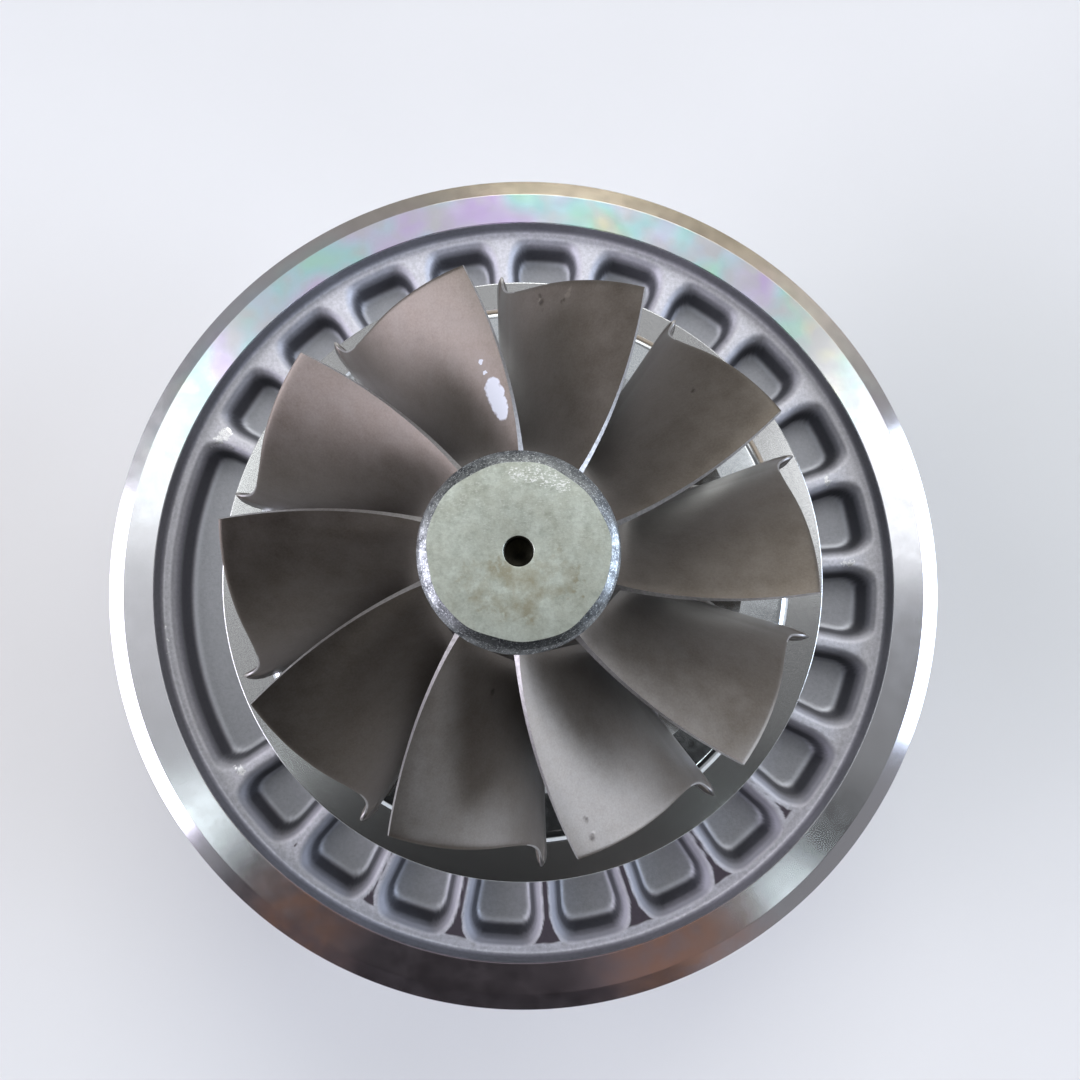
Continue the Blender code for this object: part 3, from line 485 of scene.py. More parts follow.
def nose_finish():
    """The ground nose: mottled greenish grey with brown stains and bright scratches."""
    f = Finish("ground_nose", (0.56, 0.6, 0.54), 1.0, 0.42)
    mottle = f.noise(0.62, 6.0, 0.7)
    below = f.maths("ADD", f.times(f.spots(NOSE_STAINS, 7.0), 0.75), 0.25)
    stain = f.times(f.spread(f.noise(0.26, 5.0, 0.6), 0.38, 0.62, 0.0, 0.8), below)
    scratch = f.times(f.spread(f.noise(2.6, 3.0, 0.5, stretch=(1.0, 1.7, 1.0)), 0.5, 0.6),
                      f.spots(NOSE_SCRATCHES, 2.0))
    faint = f.times(f.spread(f.noise(2.4, 2.0, 0.4, stretch=(1.0, 2.6, 1.0)), 0.6, 0.68, 0.0, 0.35),
                    f.spread(f.along("Y"), -0.004, 0.01, 0.2, 1.0))
    base = f.ramp(mottle, [(0.32, (0.37, 0.4, 0.345)), (0.64, (0.66, 0.715, 0.64))])
    scratches = f.maths("MAXIMUM", scratch, faint)
    return f.done(f.over(base, (stain, (0.31, 0.285, 0.195)), (scratches, (0.93, 0.95, 0.93))),
                  f.follow(mottle, 0.5, 0.34), f.bump(f.noise(1.9, 4.0, 0.7), 0.03, 0.7))


def chamfer_finish():
    """The hand-ground lip round the nose: dark, with pale scratches along it."""
    f = Finish("nose_chamfer", (0.16, 0.17, 0.18), 1.0, 0.36)
    patch = f.noise(0.55, 5.0, 0.7)
    base = f.ramp(patch, [(0.34, (0.045, 0.048, 0.052)), (0.66, (0.25, 0.265, 0.27))])
    scratch = f.spread(f.noise(3.2, 3.0, 0.6, stretch=(1.0, 1.0, 2.5)), 0.56, 0.64, 0.0, 0.75)
    return f.done(f.over(base, (scratch, (0.62, 0.65, 0.65))),
                  f.follow(patch, 0.46, 0.3),
                  f.bump(patch, 0.1, 0.6, f.bump(f.noise(3.0, 4.0), 0.03, 0.6)))


def iron_finish():
    f = Finish("cast_iron_skin", (0.24, 0.235, 0.23), 0.75, 0.6)
    grain = f.noise(0.9, 7.0, 0.7)
    base = f.ramp(grain, [(0.28, (0.13, 0.125, 0.12)), (0.72, (0.3, 0.29, 0.285))])
    rust = f.spread(f.noise(0.12, 5.0), 0.6, 0.74, 0.0, 0.35)
    return f.done(f.over(base, (rust, (0.23, 0.13, 0.08))), f.follow(grain, 0.5, 0.7),
                  f.bump(grain, 0.22, 0.6, f.bump(f.noise(3.0, 4.0), 0.05, 0.5)))


def milled_finish():
    """Five-axis milled aluminium: even, with fine tool lines one above another."""
    f = Finish("milled_wheel_aluminium", (0.74, 0.75, 0.76), 1.0, 0.27)
    tone = f.noise(0.1, 3.0, 0.5)
    lines = f.waves(1.6, 0.8, 1.0, wave_type="BANDS", bands_direction="Z")
    return f.done(f.ramp(tone, [(0.3, (0.68, 0.69, 0.7)), (0.7, (0.79, 0.8, 0.81))]),
                  f.follow(tone, 0.32, 0.39), f.bump(lines, 0.006, 0.5))


def steel_finish(name="machined_steel", colour=(0.52, 0.52, 0.53), rings=True):
    f = Finish(name, colour, 1.0, 0.3)
    wear = f.noise(0.16, 3.0)
    surface = f.bump(f.noise(3.0, 2.0), 0.003, 0.4)
    return f.done(f.ramp(wear, [(0.3, tuple(0.82 * c for c in colour)), (0.7, colour)]),
                  f.follow(wear, 0.26, 0.36),
                  f.bump(f.rings(2.0), 0.006, 0.4, surface) if rings else surface)


def rubber_finish():
    f = Finish("seal_rubber_skin", (0.02, 0.02, 0.021), 0.0, 0.55)
    f.put("Roughness", f.follow(f.noise(1.5, 4.0), 0.45, 0.65))
    f.put("Normal", f.bump(f.noise(4.0, 3.0), 0.01, 0.4))
    return f.material


RIM = rim_finish()
CAST = cast_finish()
TURNED_IRON = turned_iron_finish()
SHIELD = shield_finish()
BLADE = blade_finish()
HUB = blade_finish("shaded_hub_alloy", 0.55)
EDGE = ground_finish("ground_blade_edge", (0.31, 0.3, 0.295), 0.42)
NOSE = nose_finish()
CHAMFER = chamfer_finish()
# Painted shade: a near-black finish in the drilled centre hole.
DRILL_SHADE = ground_finish("drilled_centre_shade", (0.055, 0.052, 0.04), 0.4)
IRON = iron_finish()
MILLED = milled_finish()
STEEL = steel_finish()
DARK_STEEL = steel_finish("blackened_steel", (0.17, 0.17, 0.18), rings=False)
BRONZE = steel_finish("bearing_bronze_skin", (0.56, 0.4, 0.19))
RUBBER = rubber_finish()


# Back plate. Angles in degrees.

PITCH, CELLS = 15.0, 24
WEB_FIRST = 93.9
LONG_CELLS = (4, 8)              # the long pocket takes up cells 4 to 7
WEB_TOP_HALF = 2.1
POCKET_OUT, POCKET_IN = 93.6, 66.5
CORNER_OUT, CORNER_IN = 5.2, 3.5
CROWN_TOP = 2.4
CROWN_EDGE = 96.15
FIELD_UNDERSIDE = -5.6
CUT_MIDDLE = -80.0               # the webs are cut deepest at this angle
# (distance in from a pocket's top edge, height)
WALL_PROFILE = np.array([(-2.2, 2.4), (-1.35, 2.4), (-0.9, 2.34), (-0.45, 2.16), (0.0, 1.72),
                         (0.3, 1.1), (0.55, 0.25), (0.85, -0.9), (1.2, -2.35), (1.55, -3.55),
                         (1.9, -4.3), (2.3, -4.74), (2.8, -4.95), (3.4, -5.0), (6.0, -5.0)])
# (radius, rise of the wall round the outside)
RISE = np.array([(0.0, 0.0), (96.0, 0.0), (96.3, 0.1), (96.6, 0.45), (96.85, 1.15), (97.05, 2.0),
                 (97.2, 2.8), (97.33, 3.35), (97.45, 3.6), (97.6, 3.7)])
# Radii of the rows, and distances of the columns next to a web from its middle
ROWS = np.concatenate([np.linspace(*part) for part in (
    (61.0, 66.0, 4), (66.5, 70.5, 11), (71.5, 84.5, 12), (85.5, 90.0, 12), (90.3, 94.2, 17),
    (94.5, 96.0, 6), (96.2, 97.62, 11))])
NEAR_WEB = np.array([0.0, 0.4, 0.8, 1.15, 1.5, 1.8, 2.1, 2.35, 2.6, 2.85, 3.15, 3.5, 3.9, 4.35, 4.9,
                     5.6])
BETWEEN_WEBS = 9


def pocket_inside(r, angle):
    """Distance in from the top edge of the nearest pocket, negative on webs and crown."""
    turn = (angle - WEB_FIRST) % 360.0
    cell = np.floor(turn / PITCH)
    long = (cell >= LONG_CELLS[0]) & (cell < LONG_CELLS[1])
    middle = np.where(long, PITCH * sum(LONG_CELLS) / 2, PITCH * (cell + 0.5))
    half = np.where(long, PITCH * (LONG_CELLS[1] - LONG_CELLS[0]) / 2, PITCH / 2)
    side = np.radians(np.abs(turn - middle)) * r - (np.radians(half) * r - WEB_TOP_HALF)
    end = np.maximum(POCKET_IN - r, (r - POCKET_OUT) * np.where(r < POCKET_OUT, 0.65, 1.0))
    corner = np.where(r > 80.0, CORNER_OUT, CORNER_IN)
    a, b = side + corner, end + corner
    away = np.hypot(np.maximum(a, 0), np.maximum(b, 0)) + np.minimum(np.maximum(a, b), 0) - corner
    return -away


def smooth_table(table, width_mm=0.22):
    """A table read through a short running mean, so that no crease shows between its points."""
    x = np.linspace(table[0, 0], table[-1, 0], 2000)
    z = np.interp(x, table[:, 0], table[:, 1])
    width = max(3, int(width_mm / (x[1] - x[0])) | 1)
    pad = width // 2
    padded = np.concatenate([np.full(pad, z[0]), z, np.full(pad, z[-1])])
    return x, np.convolve(padded, np.ones(width) / width, mode="valid")


def build_pocket_field():
    """The ring of pockets: columns gather close to the webs, rows close to the pockets' ends."""
    columns = []
    for cell in range(CELLS):
        web = WEB_FIRST + PITCH * cell
        columns += [(web, d, None) for d in NEAR_WEB]
        columns += [(web, NEAR_WEB[-1], (k + 1) / (BETWEEN_WEBS + 1)) for k in range(BETWEEN_WEBS)]
        columns += [(web + PITCH, -d, None) for d in NEAR_WEB[:0:-1]]
    r = ROWS[:, None]
    angle = np.empty((len(ROWS), len(columns)))
    for k, (web, d, part) in enumerate(columns):
        reach = np.degrees(np.arcsin(d / ROWS))
        angle[:, k] = web + (reach if part is None else reach + (PITCH - 2 * reach) * part)
    inside = pocket_inside(r, angle)
    crown = np.minimum(-inside, (CROWN_EDGE - r) * 0.6)
    wobble = 0.12 * np.sin(np.radians(angle) * 37.0 + r * 1.3) * np.sin(np.radians(angle) * 91.0)
    around = (angle - CUT_MIDDLE + 180.0) % 360.0 - 180.0
    needed = 1.3 + 0.9 * (around / 40.0) ** 2 + wobble
    cut = bumps(crown, needed - 0.05, needed + 0.18) * (r > 67.0)
    z = (np.interp(inside, *smooth_table(WALL_PROFILE)) + np.interp(ROWS, *RISE.T)[:, None]
         - 0.4 * (1.0 - bumps(r, 64.0, 66.2)))
    z = z - 0.16 * (1.0 - bumps(crown, 0.0, 1.4)) * (inside < 0) * (r > 70.0)
    z = np.where(cut > 0.5, np.minimum(z, CROWN_TOP - 0.02), z)
    # Painted shade goes on the pocket walls and on the rise round the outside.
    wall_shade = bumps(inside, 0.25, 0.9) * (1.0 - bumps(inside, 1.75, 2.35))
    # How strongly the web edges get painted shade and roughness: fully towards -Y, half as much
    # elsewhere.
    lower_side = 1.0 - 0.5 * bumps(np.abs(around), 48.0, 78.0)
    marks = {"wall_shade": np.maximum(wall_shade, 0.8 * bumps(r, 96.1, 96.9)),
             # Painted shade on the pocket floors.
             "floor": bumps(inside, 2.3, 2.9),
             "outline": np.exp(-((inside - 2.45) / 0.35) ** 2),
             "cut": cut,
             "rough_shaded_edge": bumps(inside, -1.35, -0.5) * (1.0 - bumps(inside, 0.5, 0.9)) * lower_side}
    verts = polar_points(r, np.radians(angle), z)
    under = verts[[-1, 0]]
    under[..., 2] = FIELD_UNDERSIDE
    verts = np.concatenate([verts, under]).reshape(-1, 3)
    marks = {label: np.concatenate([values, np.zeros((2, len(columns)))]).ravel()
             for label, values in marks.items()}
    make_piece("back_plate_pockets", verts, grid_faces(len(ROWS) + 2, len(columns), True, True),
               BODY, [CAST], "cast_aluminium", ["back_plate"], recalc=False, sharp=75.0, marks=marks)


def build_rim():
    outline = fillet([(110.0, 0.0, 0.35), (110.0, 4.0, 0.3), (105.5, 6.1, 0.25), (97.55, 6.1, 0.3),
                      (97.4, 1.5, 0), (96.8, -5.9, 0), (66.5, -5.9, 0), (66.2, -11.0, 0.3),
                      (101.0, -11.0, 1.0), (101.0, -6.7, 0.2), (98.2, -6.7, 0.3),
                      (98.2, -2.5, 0.3), (101.0, -2.5, 0.2), (101.0, 0.0, 0.15)])
    turned("back_plate_rim", outline, BODY, [RIM], "cast_aluminium", ["back_plate"], 512)
    middle = fillet([(66.0, -10.9, 0), (65.0, -7.0, 1.2), (34.0, -7.0, 0.3), (34.0, 2.0, 0.3),
                     (63.0, 2.0, 0.4), (63.5, -6.0, 0)])
    turned("back_plate_middle", middle, BODY, [RIM], "cast_aluminium", ["back_plate"], 256)


# Bearing housing

PADS = ((24.0, -30.0, -59.9), (15.0, 30.0, 57.9))    # half width, from y, to y: drain, inlet
PAD_BOTTOM, PAD_TOP, PAD_CORNER = 11.2, 32.8, 6.0
PORT_HEIGHT = 22.0
DRILLS = (("drain_drill", 8.0, -70.0, -8.0, 0.0), ("inlet_drill", 5.5, 8.0, 70.0, 0.0),
          ("screw_drill_left", 3.4, -70.0, -46.0, -16.5),
          ("screw_drill_right", 3.4, -70.0, -46.0, 16.5))  # name, radius, from y, to y, x
MACHINED_FROM_Z = 0.0105         # metres: above the lower flange
DRAIN_FACE_Y, INLET_FACE_Y = -0.0588, 0.0568    # metres: faces beyond these are machined


def build_turbine_flange():
    outline = fillet([(60.4, 43.1, 0.2), (60.4, 42.3, 0.2), (48.0, 42.3, 0.8), (48.0, 58.0, 1.0),
                      (20.0, 63.0, 0.5), (19.0, 64.0, 0.3), (13.5, 64.0, 0.2), (13.5, 40.0, 0),
                      (36.0, 31.0, 0), (46.0, 34.5, 3.0), (62.0, 36.5, 0.6), (69.0, 39.5, 0.4),
                      (69.0, 43.1, 0.35)])
    turned("housing_turbine_flange", outline, BODY, [TURNED_IRON], "machined_iron",
           ["bearing_housing"], 384)


def bar_ends(x, ends, z0, z1, corner, steps=6):
    """The two end rings of a bar along Y with rounded long edges."""
    ring = []
    for cx, cz, first in ((x - corner, z1 - corner, 0), (-x + corner, z1 - corner, 90),
                          (-x + corner, z0 + corner, 180), (x - corner, z0 + corner, 270)):
        for k in range(steps + 1):
            a = radians(first + 90.0 * k / steps)
            ring.append((cx + corner * cos(a), cz + corner * sin(a)))
    return [[(px, y, pz) for px, pz in ring] for y in ends]


def mesh_object(name, verts, faces):
    mesh = bpy.data.meshes.new(name)
    mesh.from_pydata([tuple(c * MM for c in v) for v in verts], [], faces)
    bm = bmesh.new()
    bm.from_mesh(mesh)
    bmesh.ops.recalc_face_normals(bm, faces=bm.faces)
    bm.to_mesh(mesh)
    bm.free()
    return add_object(name, mesh)


def rod_object(name, radius, start, end, x, steps=48):
    verts = [(x + radius * cos(a), y, PORT_HEIGHT + radius * sin(a))
             for y in (start, end) for a in circle(steps)]
    return mesh_object(name, verts, prism_faces(steps))


def apply_modifiers(thing):
    """Make the object's mesh what its modifiers give."""
    shape = bpy.data.meshes.new_from_object(
        thing.evaluated_get(bpy.context.evaluated_depsgraph_get()))
    thing.modifiers.clear()
    thing.data = shape


def build_waist():
    """Waist, lower flange and both oil pads, grown together with soft cast corners."""
    core = fillet([(11.0, 2.4, 0), (62.0, 2.4, 0.5), (62.0, 9.0, 0.9), (43.5, 9.0, 2.5),
                   (40.0, 12.0, 3.0), (40.0, 30.0, 3.0), (46.0, 34.5, 2.0), (50.0, 35.2, 0),
                   (50.0, 36.0, 0), (11.0, 36.0, 0)])
    segments = 160
    r, z = core.T[..., None]
    verts = polar_points(r, circle(segments), z).reshape(-1, 3).tolist()
    faces = grid_faces(len(core), segments, True, True).tolist()
    for width, *ends in PADS:
        near, far = bar_ends(width, ends, PAD_BOTTOM, PAD_TOP, PAD_CORNER)
        faces += prism_faces(len(near), len(verts))
        verts += near + far
    waist = mesh_object("housing_waist", verts, faces)
    remesh = waist.modifiers.new("grow_together", "REMESH")
    remesh.mode = "VOXEL"
    remesh.voxel_size = 0.85 * MM
    smooth = waist.modifiers.new("cast_corners", "SMOOTH")
    smooth.factor, smooth.iterations = 0.5, 5
    apply_modifiers(waist)
    tools = [rod_object(*drill) for drill in DRILLS]
    for tool in tools:
        cut = waist.modifiers.new(tool.name, "BOOLEAN")
        cut.operation, cut.solver, cut.object = "DIFFERENCE", "EXACT", tool
    apply_modifiers(waist)
    for tool in tools:
        bpy.data.objects.remove(tool, do_unlink=True)
    waist.data.materials.clear()
    waist.data.materials.append(IRON)
    waist.data.materials.append(STEEL)
    for face in waist.data.polygons:
        y, on_pad = face.center.y, face.center.z > MACHINED_FROM_Z and abs(face.normal.y) > 0.96
        face.material_index = 1 if on_pad and (y < DRAIN_FACE_Y or y > INLET_FACE_Y) else 0
    waist.data.shade_smooth()
    waist.data.set_sharp_from_angle(angle=radians(50))
    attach(waist, BODY)
    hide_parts("bearing_housing")


def hex_piece(name, x, y, to_corner, levels, body, material, slot, replaced, segments=96):
    """A hexagon head or nut. levels are (height, hexagon scale, radius that limits it); a level
    of scale 0 is round. to_corner is the hexagon's radius at a corner."""
    angle = circle(segments)
    apothem = to_corner * cos(pi / 6)
    rings = []
    for z, scale, limit in levels:
        hexagon = apothem * scale / np.cos((angle % (pi / 3)) - pi / 6)
        r = np.minimum(hexagon, limit) if scale else limit
        rings.append(polar_points(r, angle, z) + (x, y, 0.0))
    make_piece(name, np.concatenate(rings), grid_faces(len(levels), segments, True, True), body,
               [material], slot, replaced, sharp=28.0)


def build_bolts():
    levels = [(9.3, 0, 0.001), (9.3, 0, 6.15), (9.75, 0, 6.2), (9.8, 1.0, 7.15), (14.5, 1.0, 7.15),
              (14.95, 1.0, 6.75), (15.3, 1.0, 6.1), (15.3, 0, 5.4), (15.0, 0, 5.0), (15.0, 0, 0.001)]
    bolt_circle = 53.0
    for number, angle in enumerate((18.0, 54.0, 126.0, 162.0, 198.0, 234.0, 306.0, 342.0), 1):
        hex_piece("housing_bolt_head_%d" % number, bolt_circle * cos(radians(angle)),
                  bolt_circle * sin(radians(angle)), 7.2, levels, BODY, DARK_STEEL, "bright_steel",
                  ["housing_bolt_%d" % number])


# Heat shield

def build_shield():
    outline = fillet([(60.0, 42.62, 0.3), (60.0, 43.82, 0.4), (56.4, 43.82, 0.4), (56.4, 66.5, 2.9),
                      (46.0, 66.5, 2.0), (38.0, 65.7, 2.0), (22.0, 65.7, 0.4), (22.0, 64.5, 0.3),
                      (38.0, 64.5, 1.0), (46.0, 65.3, 1.0), (55.2, 65.3, 1.7), (55.2, 42.62, 0)])
    turned("heat_shield_cup", outline, BODY, [SHIELD], "stainless_sheet", ["heat_shield"], 320)


# Blades of both wheels: a grid of points (row along the blade, column from hub to tip)

def between(hub, tip, v):
    """A grid of points from the hub's curve to the tip's, at parts v of the way."""
    return hub[:, None, :] * (1 - v)[None, :, None] + tip[:, None, :] * v[None, :, None]


def thickened(middle, half_thickness):
    """Rings of points round a blade, from the grid of its middle surface."""
    normal = np.cross(np.gradient(middle, axis=0), np.gradient(middle, axis=1))
    normal /= np.linalg.norm(normal, axis=2, keepdims=True)
    push = normal * half_thickness[..., None]
    return np.concatenate([middle + push, (middle - push)[:, ::-1]], axis=1)


# Turbine wheel

BLADES = 10
LEAD, TWIST, TWIST_Z = 94.04, 29.03, 81.0      # degrees, degrees, height where the twist starts
ROOT_Z, WHEEL_TOP, HUB_TOP = 71.5, 110.0, 115.7
HUB_SMALL, HUB_LARGE, HUB_LARGE_Z = 16.4, 34.0, 73.8
TIP_RADIUS, SHROUD_Z = 57.1, 82.7
BEND_IN, BEND_UP = 6.2, 14.0
NOSE_RADII = (2.35, 14.48)       # where the drilled centre ends and where the chamfer starts


def fibre(z):
    """The angle of the blade's middle at a height, in radians."""
    part = np.maximum(0.0, (z - TWIST_Z) / (WHEEL_TOP - TWIST_Z))
    return np.radians(LEAD - TWIST * part ** 2)


def hub_radius(z):
    part = np.clip((z - HUB_LARGE_Z) / (HUB_TOP - HUB_LARGE_Z), 0.0, 1.0)
    return HUB_SMALL + (HUB_LARGE - HUB_SMALL) * (1.0 - part) ** 2.2


def tip_curve(count):
    """Points (r, z) from the foot of the leading edge, round the shroud bend, to the tip."""
    lead = [(TIP_RADIUS, z) for z in np.linspace(ROOT_Z, SHROUD_Z, count // 4)]
    bend = [(TIP_RADIUS - BEND_IN * sin(s), SHROUD_Z + BEND_UP * (1 - cos(s)))
            for s in np.linspace(0, pi / 2, count // 2)[1:]]
    rise = [(50.9, z) for z in np.linspace(96.7, WHEEL_TOP, count // 4 + 2)[1:]]
    return np.array(lead + bend + rise)


def build_blades():
    tip = tip_curve(60)
    rows = len(tip)
    length = np.concatenate([[0], np.cumsum(np.hypot(*np.diff(tip, axis=0).T))])
    length /= length[-1]
    hub_z = ROOT_Z + (HUB_TOP - ROOT_Z) * length
    hub = np.stack([np.maximum(hub_radius(hub_z) - 0.8, 15.4), hub_z], -1)
    v = np.concatenate([[0.0, 0.02, 0.04, 0.06, 0.085, 0.115, 0.15], np.linspace(0.2, 0.94, 17),
                        [0.965, 0.982, 0.993, 1.0]])
    grid = between(hub, tip, v)
    r, z = grid[..., 0], grid[..., 1]
    away = r - hub[:, None, 0]
    lead_part = 1.0 - bumps(z, 80.0, 88.0)
    slim = 1.0 - 0.86 * bumps(length, 0.45, 1.0)[:, None] ** 1.6
    thick = 0.4 + 0.66 * lead_part + slim * (1.05 * (1 - v[None, :]) ** 1.3
                                              + 1.9 * np.exp(-away / 1.35))
    thick = thick * np.interp(v, [0.0, 0.965, 0.982, 0.993, 1.0], [1.0, 1.0, 0.94, 0.82, 0.45])
    hook = np.exp(-((z - 83.5) / 4.0) ** 2) * bumps(v, 0.88, 1.0)[None, :]
    thick = thick * (1.0 - 0.62 * hook)
    thick[-1] *= 0.8
    ring = thickened(polar_points(r, fibre(z), z), thick)
    cols, width = len(v), 2 * len(v)
    caps = [end_cap(0, width), end_cap(rows - 1, width)]
    faces = np.concatenate([grid_faces(rows, width, False, True), *caps])
    # The ground edge: the tip's faces at the hook, and the cap at the top
    kinds = np.zeros((rows - 1, width), int)
    kinds[tip[:-1, 1] < 90.0, cols - 2:cols + 1] = 1
    kinds = np.concatenate([kinds.ravel(), np.zeros(len(caps[0]), int), np.ones(len(caps[1]), int)])
    flat = ring.reshape(-1, 3)
    make_piece("turbine_blades",
               np.concatenate([spun(flat, 2 * pi * k / BLADES) for k in range(BLADES)]),
               np.concatenate([faces + k * len(flat) for k in range(BLADES)]), ROTOR,
               [BLADE, EDGE], "nickel_alloy", ["turbine_wheel"], kinds=np.tile(kinds, BLADES),
               sharp=48.0)


def build_turbine_hub():
    curve = np.concatenate([np.linspace(71.9, 82.0, 16), np.linspace(83.0, HUB_TOP, 34)])
    heights = np.concatenate([[58.0, 67.0, 70.0, ROOT_Z, ROOT_Z], curve, [116.6, 117.6, 118.3]])
    radius = np.concatenate([[13.0, 13.0, 15.0, 19.0, 33.2], hub_radius(curve), [HUB_SMALL] * 3])
    segments = 360
    angle = circle(segments)
    # The back disc reaches out to an arm under each blade.
    low = bumps(SHROUD_Z - heights, 0.0, 11.2)
    low[:4] = 0.0
    pitch = 360.0 / BLADES
    gap = (np.degrees(angle) - LEAD + pitch / 2) % pitch - pitch / 2
    arm = np.exp(-(gap / 5.5) ** 2)
    r = radius[:, None] + 9.0 * (low ** 1.5)[:, None] * arm[None, :]
    make_piece("turbine_hub", polar_points(r, angle, heights[:, None]).reshape(-1, 3),
               grid_faces(len(heights), segments, False, True), ROTOR, [HUB], "nickel_alloy",
               ["turbine_wheel"], sharp=50.0)
    face = fillet([(16.4, 117.9, 0), (16.4, 118.75, 0.1), (15.75, 119.42, 0.15), (14.5, 120.2, 0.12),
                   (2.5, 120.2, 0.1), (2.2, 119.8, 0.1), (2.2, 116.4, 0), (0.001, 115.2, 0)],
                  closed=False)
    nose = turned("turbine_nose", face, ROTOR, [DRILL_SHADE, NOSE, CHAMFER], "nickel_alloy",
                  ["turbine_wheel"], 240, closed=False, weighted=False, sharp=24.0)
    for poly in nose.data.polygons:
        reach = hypot(poly.center.x, poly.center.y) / MM
        poly.material_index = int(np.searchsorted(NOSE_RADII, reach))
    # The lip between the face and the side is ground by hand, so it isn't quite round.
    for vertex in nose.data.vertices:
        reach, turn = hypot(vertex.co.x, vertex.co.y), atan2(vertex.co.y, vertex.co.x)
        if 0.0143 < reach < 0.016:
            out_of_round = (0.24 * sin(2 * turn + 2.2) + 0.13 * sin(5 * turn + 1.0)
                            + 0.08 * sin(11 * turn))
            vertex.co.xy *= 1.0 + out_of_round * MM / reach


# Compressor wheel

COMPRESSOR_BLADES = 6            # and a splitter blade after each
EXIT_RADIUS, EYE_RADIUS = 60.0, 42.0
BACK_Z, EXIT_Z, EYE_Z = -14.2, -20.2, -41.0
BLADE_START_Z, SPLITTER_START_Z = -56.0, -42.0
WHEEL_LIMIT = 59.9


def impeller_hub(z):
    part = np.clip((BACK_Z - z) / 41.8, 0.0, 1.0)
    return EXIT_RADIUS - 47.0 * np.sqrt(np.maximum(0.0, 1 - (1 - part) ** 3.2))


def impeller_angle(r, z):
    """Lean of the blade towards its inlet less its sweep back at the exit, in radians."""
    lean = np.maximum(0.0, (EXIT_Z - z) / 35.8)
    sweep = np.maximum(0.0, (r - 30.0) / 30.0)
    return radians(46.0) * lean ** 1.4 - radians(30.0) * sweep ** 1.5


def impeller_blade(start):
    """Rings of points for one blade, from its leading edge at a height to the exit."""
    lead = np.linspace(start, EYE_Z, 14)
    bend = np.linspace(0, pi / 2, 34)[1:]
    shroud = [(EYE_RADIUS, z) for z in lead]
    shroud += [(60.0 - 18.0 * sin(pi / 2 - s), -20.2 - 20.8 * (1 - cos(pi / 2 - s))) for s in bend]
    hub_z = np.concatenate([lead, EYE_Z + (41.0 - 14.2) * (bend / (pi / 2)) ** 0.8])
    v = np.concatenate([[0.0, 0.03, 0.06, 0.1, 0.15], np.linspace(0.22, 0.95, 12), [0.99, 1.0]])
    grid = between(np.stack([impeller_hub(hub_z), hub_z], -1), np.array(shroud), v)
    r, z = grid[..., 0], grid[..., 1]
    middle = polar_points(r, impeller_angle(r, z), z)
    height = np.linalg.norm(middle - middle[:, :1], axis=2)
    thick = 0.38 + 0.35 * (1 - v[None, :]) + 1.3 * np.exp(-height / 0.9)
    thick[:, -1] *= 0.75
    thick[0] *= 0.7
    thick[-1] *= 0.9
    return thickened(middle, thick)


def build_impeller():
    all_verts, all_faces, start = [], [], 0
    for k in range(2 * COMPRESSOR_BLADES):
        ring = impeller_blade(BLADE_START_Z if k % 2 == 0 else SPLITTER_START_Z)
        rows, width = ring.shape[:2]
        faces = np.concatenate([grid_faces(rows, width, False, True), end_cap(0, width),
                                end_cap(rows - 1, width)])
        all_verts.append(spun(ring.reshape(-1, 3), pi * k / COMPRESSOR_BLADES))
        all_faces.append(faces + start)
        start += rows * width
    verts = np.concatenate(all_verts)
    reach = np.hypot(verts[:, 0], verts[:, 1])
    verts[:, :2] *= np.minimum(1.0, WHEEL_LIMIT / reach)[:, None]
    make_piece("compressor_blades", verts, np.concatenate(all_faces), ROTOR, [MILLED],
               "milled_aluminium", ["compressor_wheel"], sharp=48.0)
    outline = [(6.3, -60.0), (6.3, -12.0), (WHEEL_LIMIT, -12.0)]
    outline += [(min(WHEEL_LIMIT, impeller_hub(z)), z) for z in np.linspace(BACK_Z, -56.0, 60)]
    outline += [(13.0, -58.9), (12.4, -59.7), (11.6, -60.0)]
    turned("compressor_hub", outline, ROTOR, [MILLED], "milled_aluminium", ["compressor_wheel"],
           300, sharp=30.0)


# Shaft end, nut and seals

THREAD_RADIUS, THREAD_PITCH, THREAD_DEPTH = 6.0, 1.25, 0.62
THREAD_FROM, THREAD_TO = -58.0, -75.0


def build_shaft_end():
    core = fillet([(0.001, 57.7, 0), (8.5, 57.7, 0.3), (8.5, -1.0, 0.2), (6.0, -1.0, 0.1),
                   (6.0, -58.0, 0), (0.001, -58.0, 0)], closed=False)
    turned("rotor_shaft_core", core, ROTOR, [STEEL], "bright_steel", ["rotor_shaft"], 96,
           closed=False)
    angle = circle(96)
    rings = []
    for z in np.arange(THREAD_FROM, THREAD_TO, -0.1):
        phase = (z / THREAD_PITCH + angle / (2 * pi)) % 1.0
        depth = THREAD_DEPTH * (1.0 - np.abs(2 * phase - 1.0))
        taper = bumps(-z, 73.9, 75.0) * 0.5
        rings.append(polar_points(THREAD_RADIUS - np.maximum(depth, taper), angle, z))
    end = (5.2, -75.6), (4.7, -76.0), (1.6, -76.0), (1.2, -75.4), (1.1, -73.4), (0.001, -73.0)
    rings += [polar_points(r, angle, z) for r, z in end]
    make_piece("rotor_shaft_thread", np.concatenate(rings),
               grid_faces(len(rings), len(angle), False, True), ROTOR, [STEEL], "bright_steel",
               ["rotor_shaft"], sharp=50.0)


def build_nut():
    levels = [(-60.3, 0, 6.3), (-60.3, 0, 10.4), (-60.7, 1.0, 11.6), (-61.4, 1.0, 12.45),
              (-69.2, 1.0, 12.45), (-69.9, 1.0, 11.6), (-70.3, 0, 10.4), (-70.3, 0, 6.9),
              (-69.8, 0, 6.3)]
    hex_piece("shaft_lock_nut", 0.0, 0.0, 12.5, levels, ROTOR, STEEL, "bright_steel", ["lock_nut"],
              segments=144)


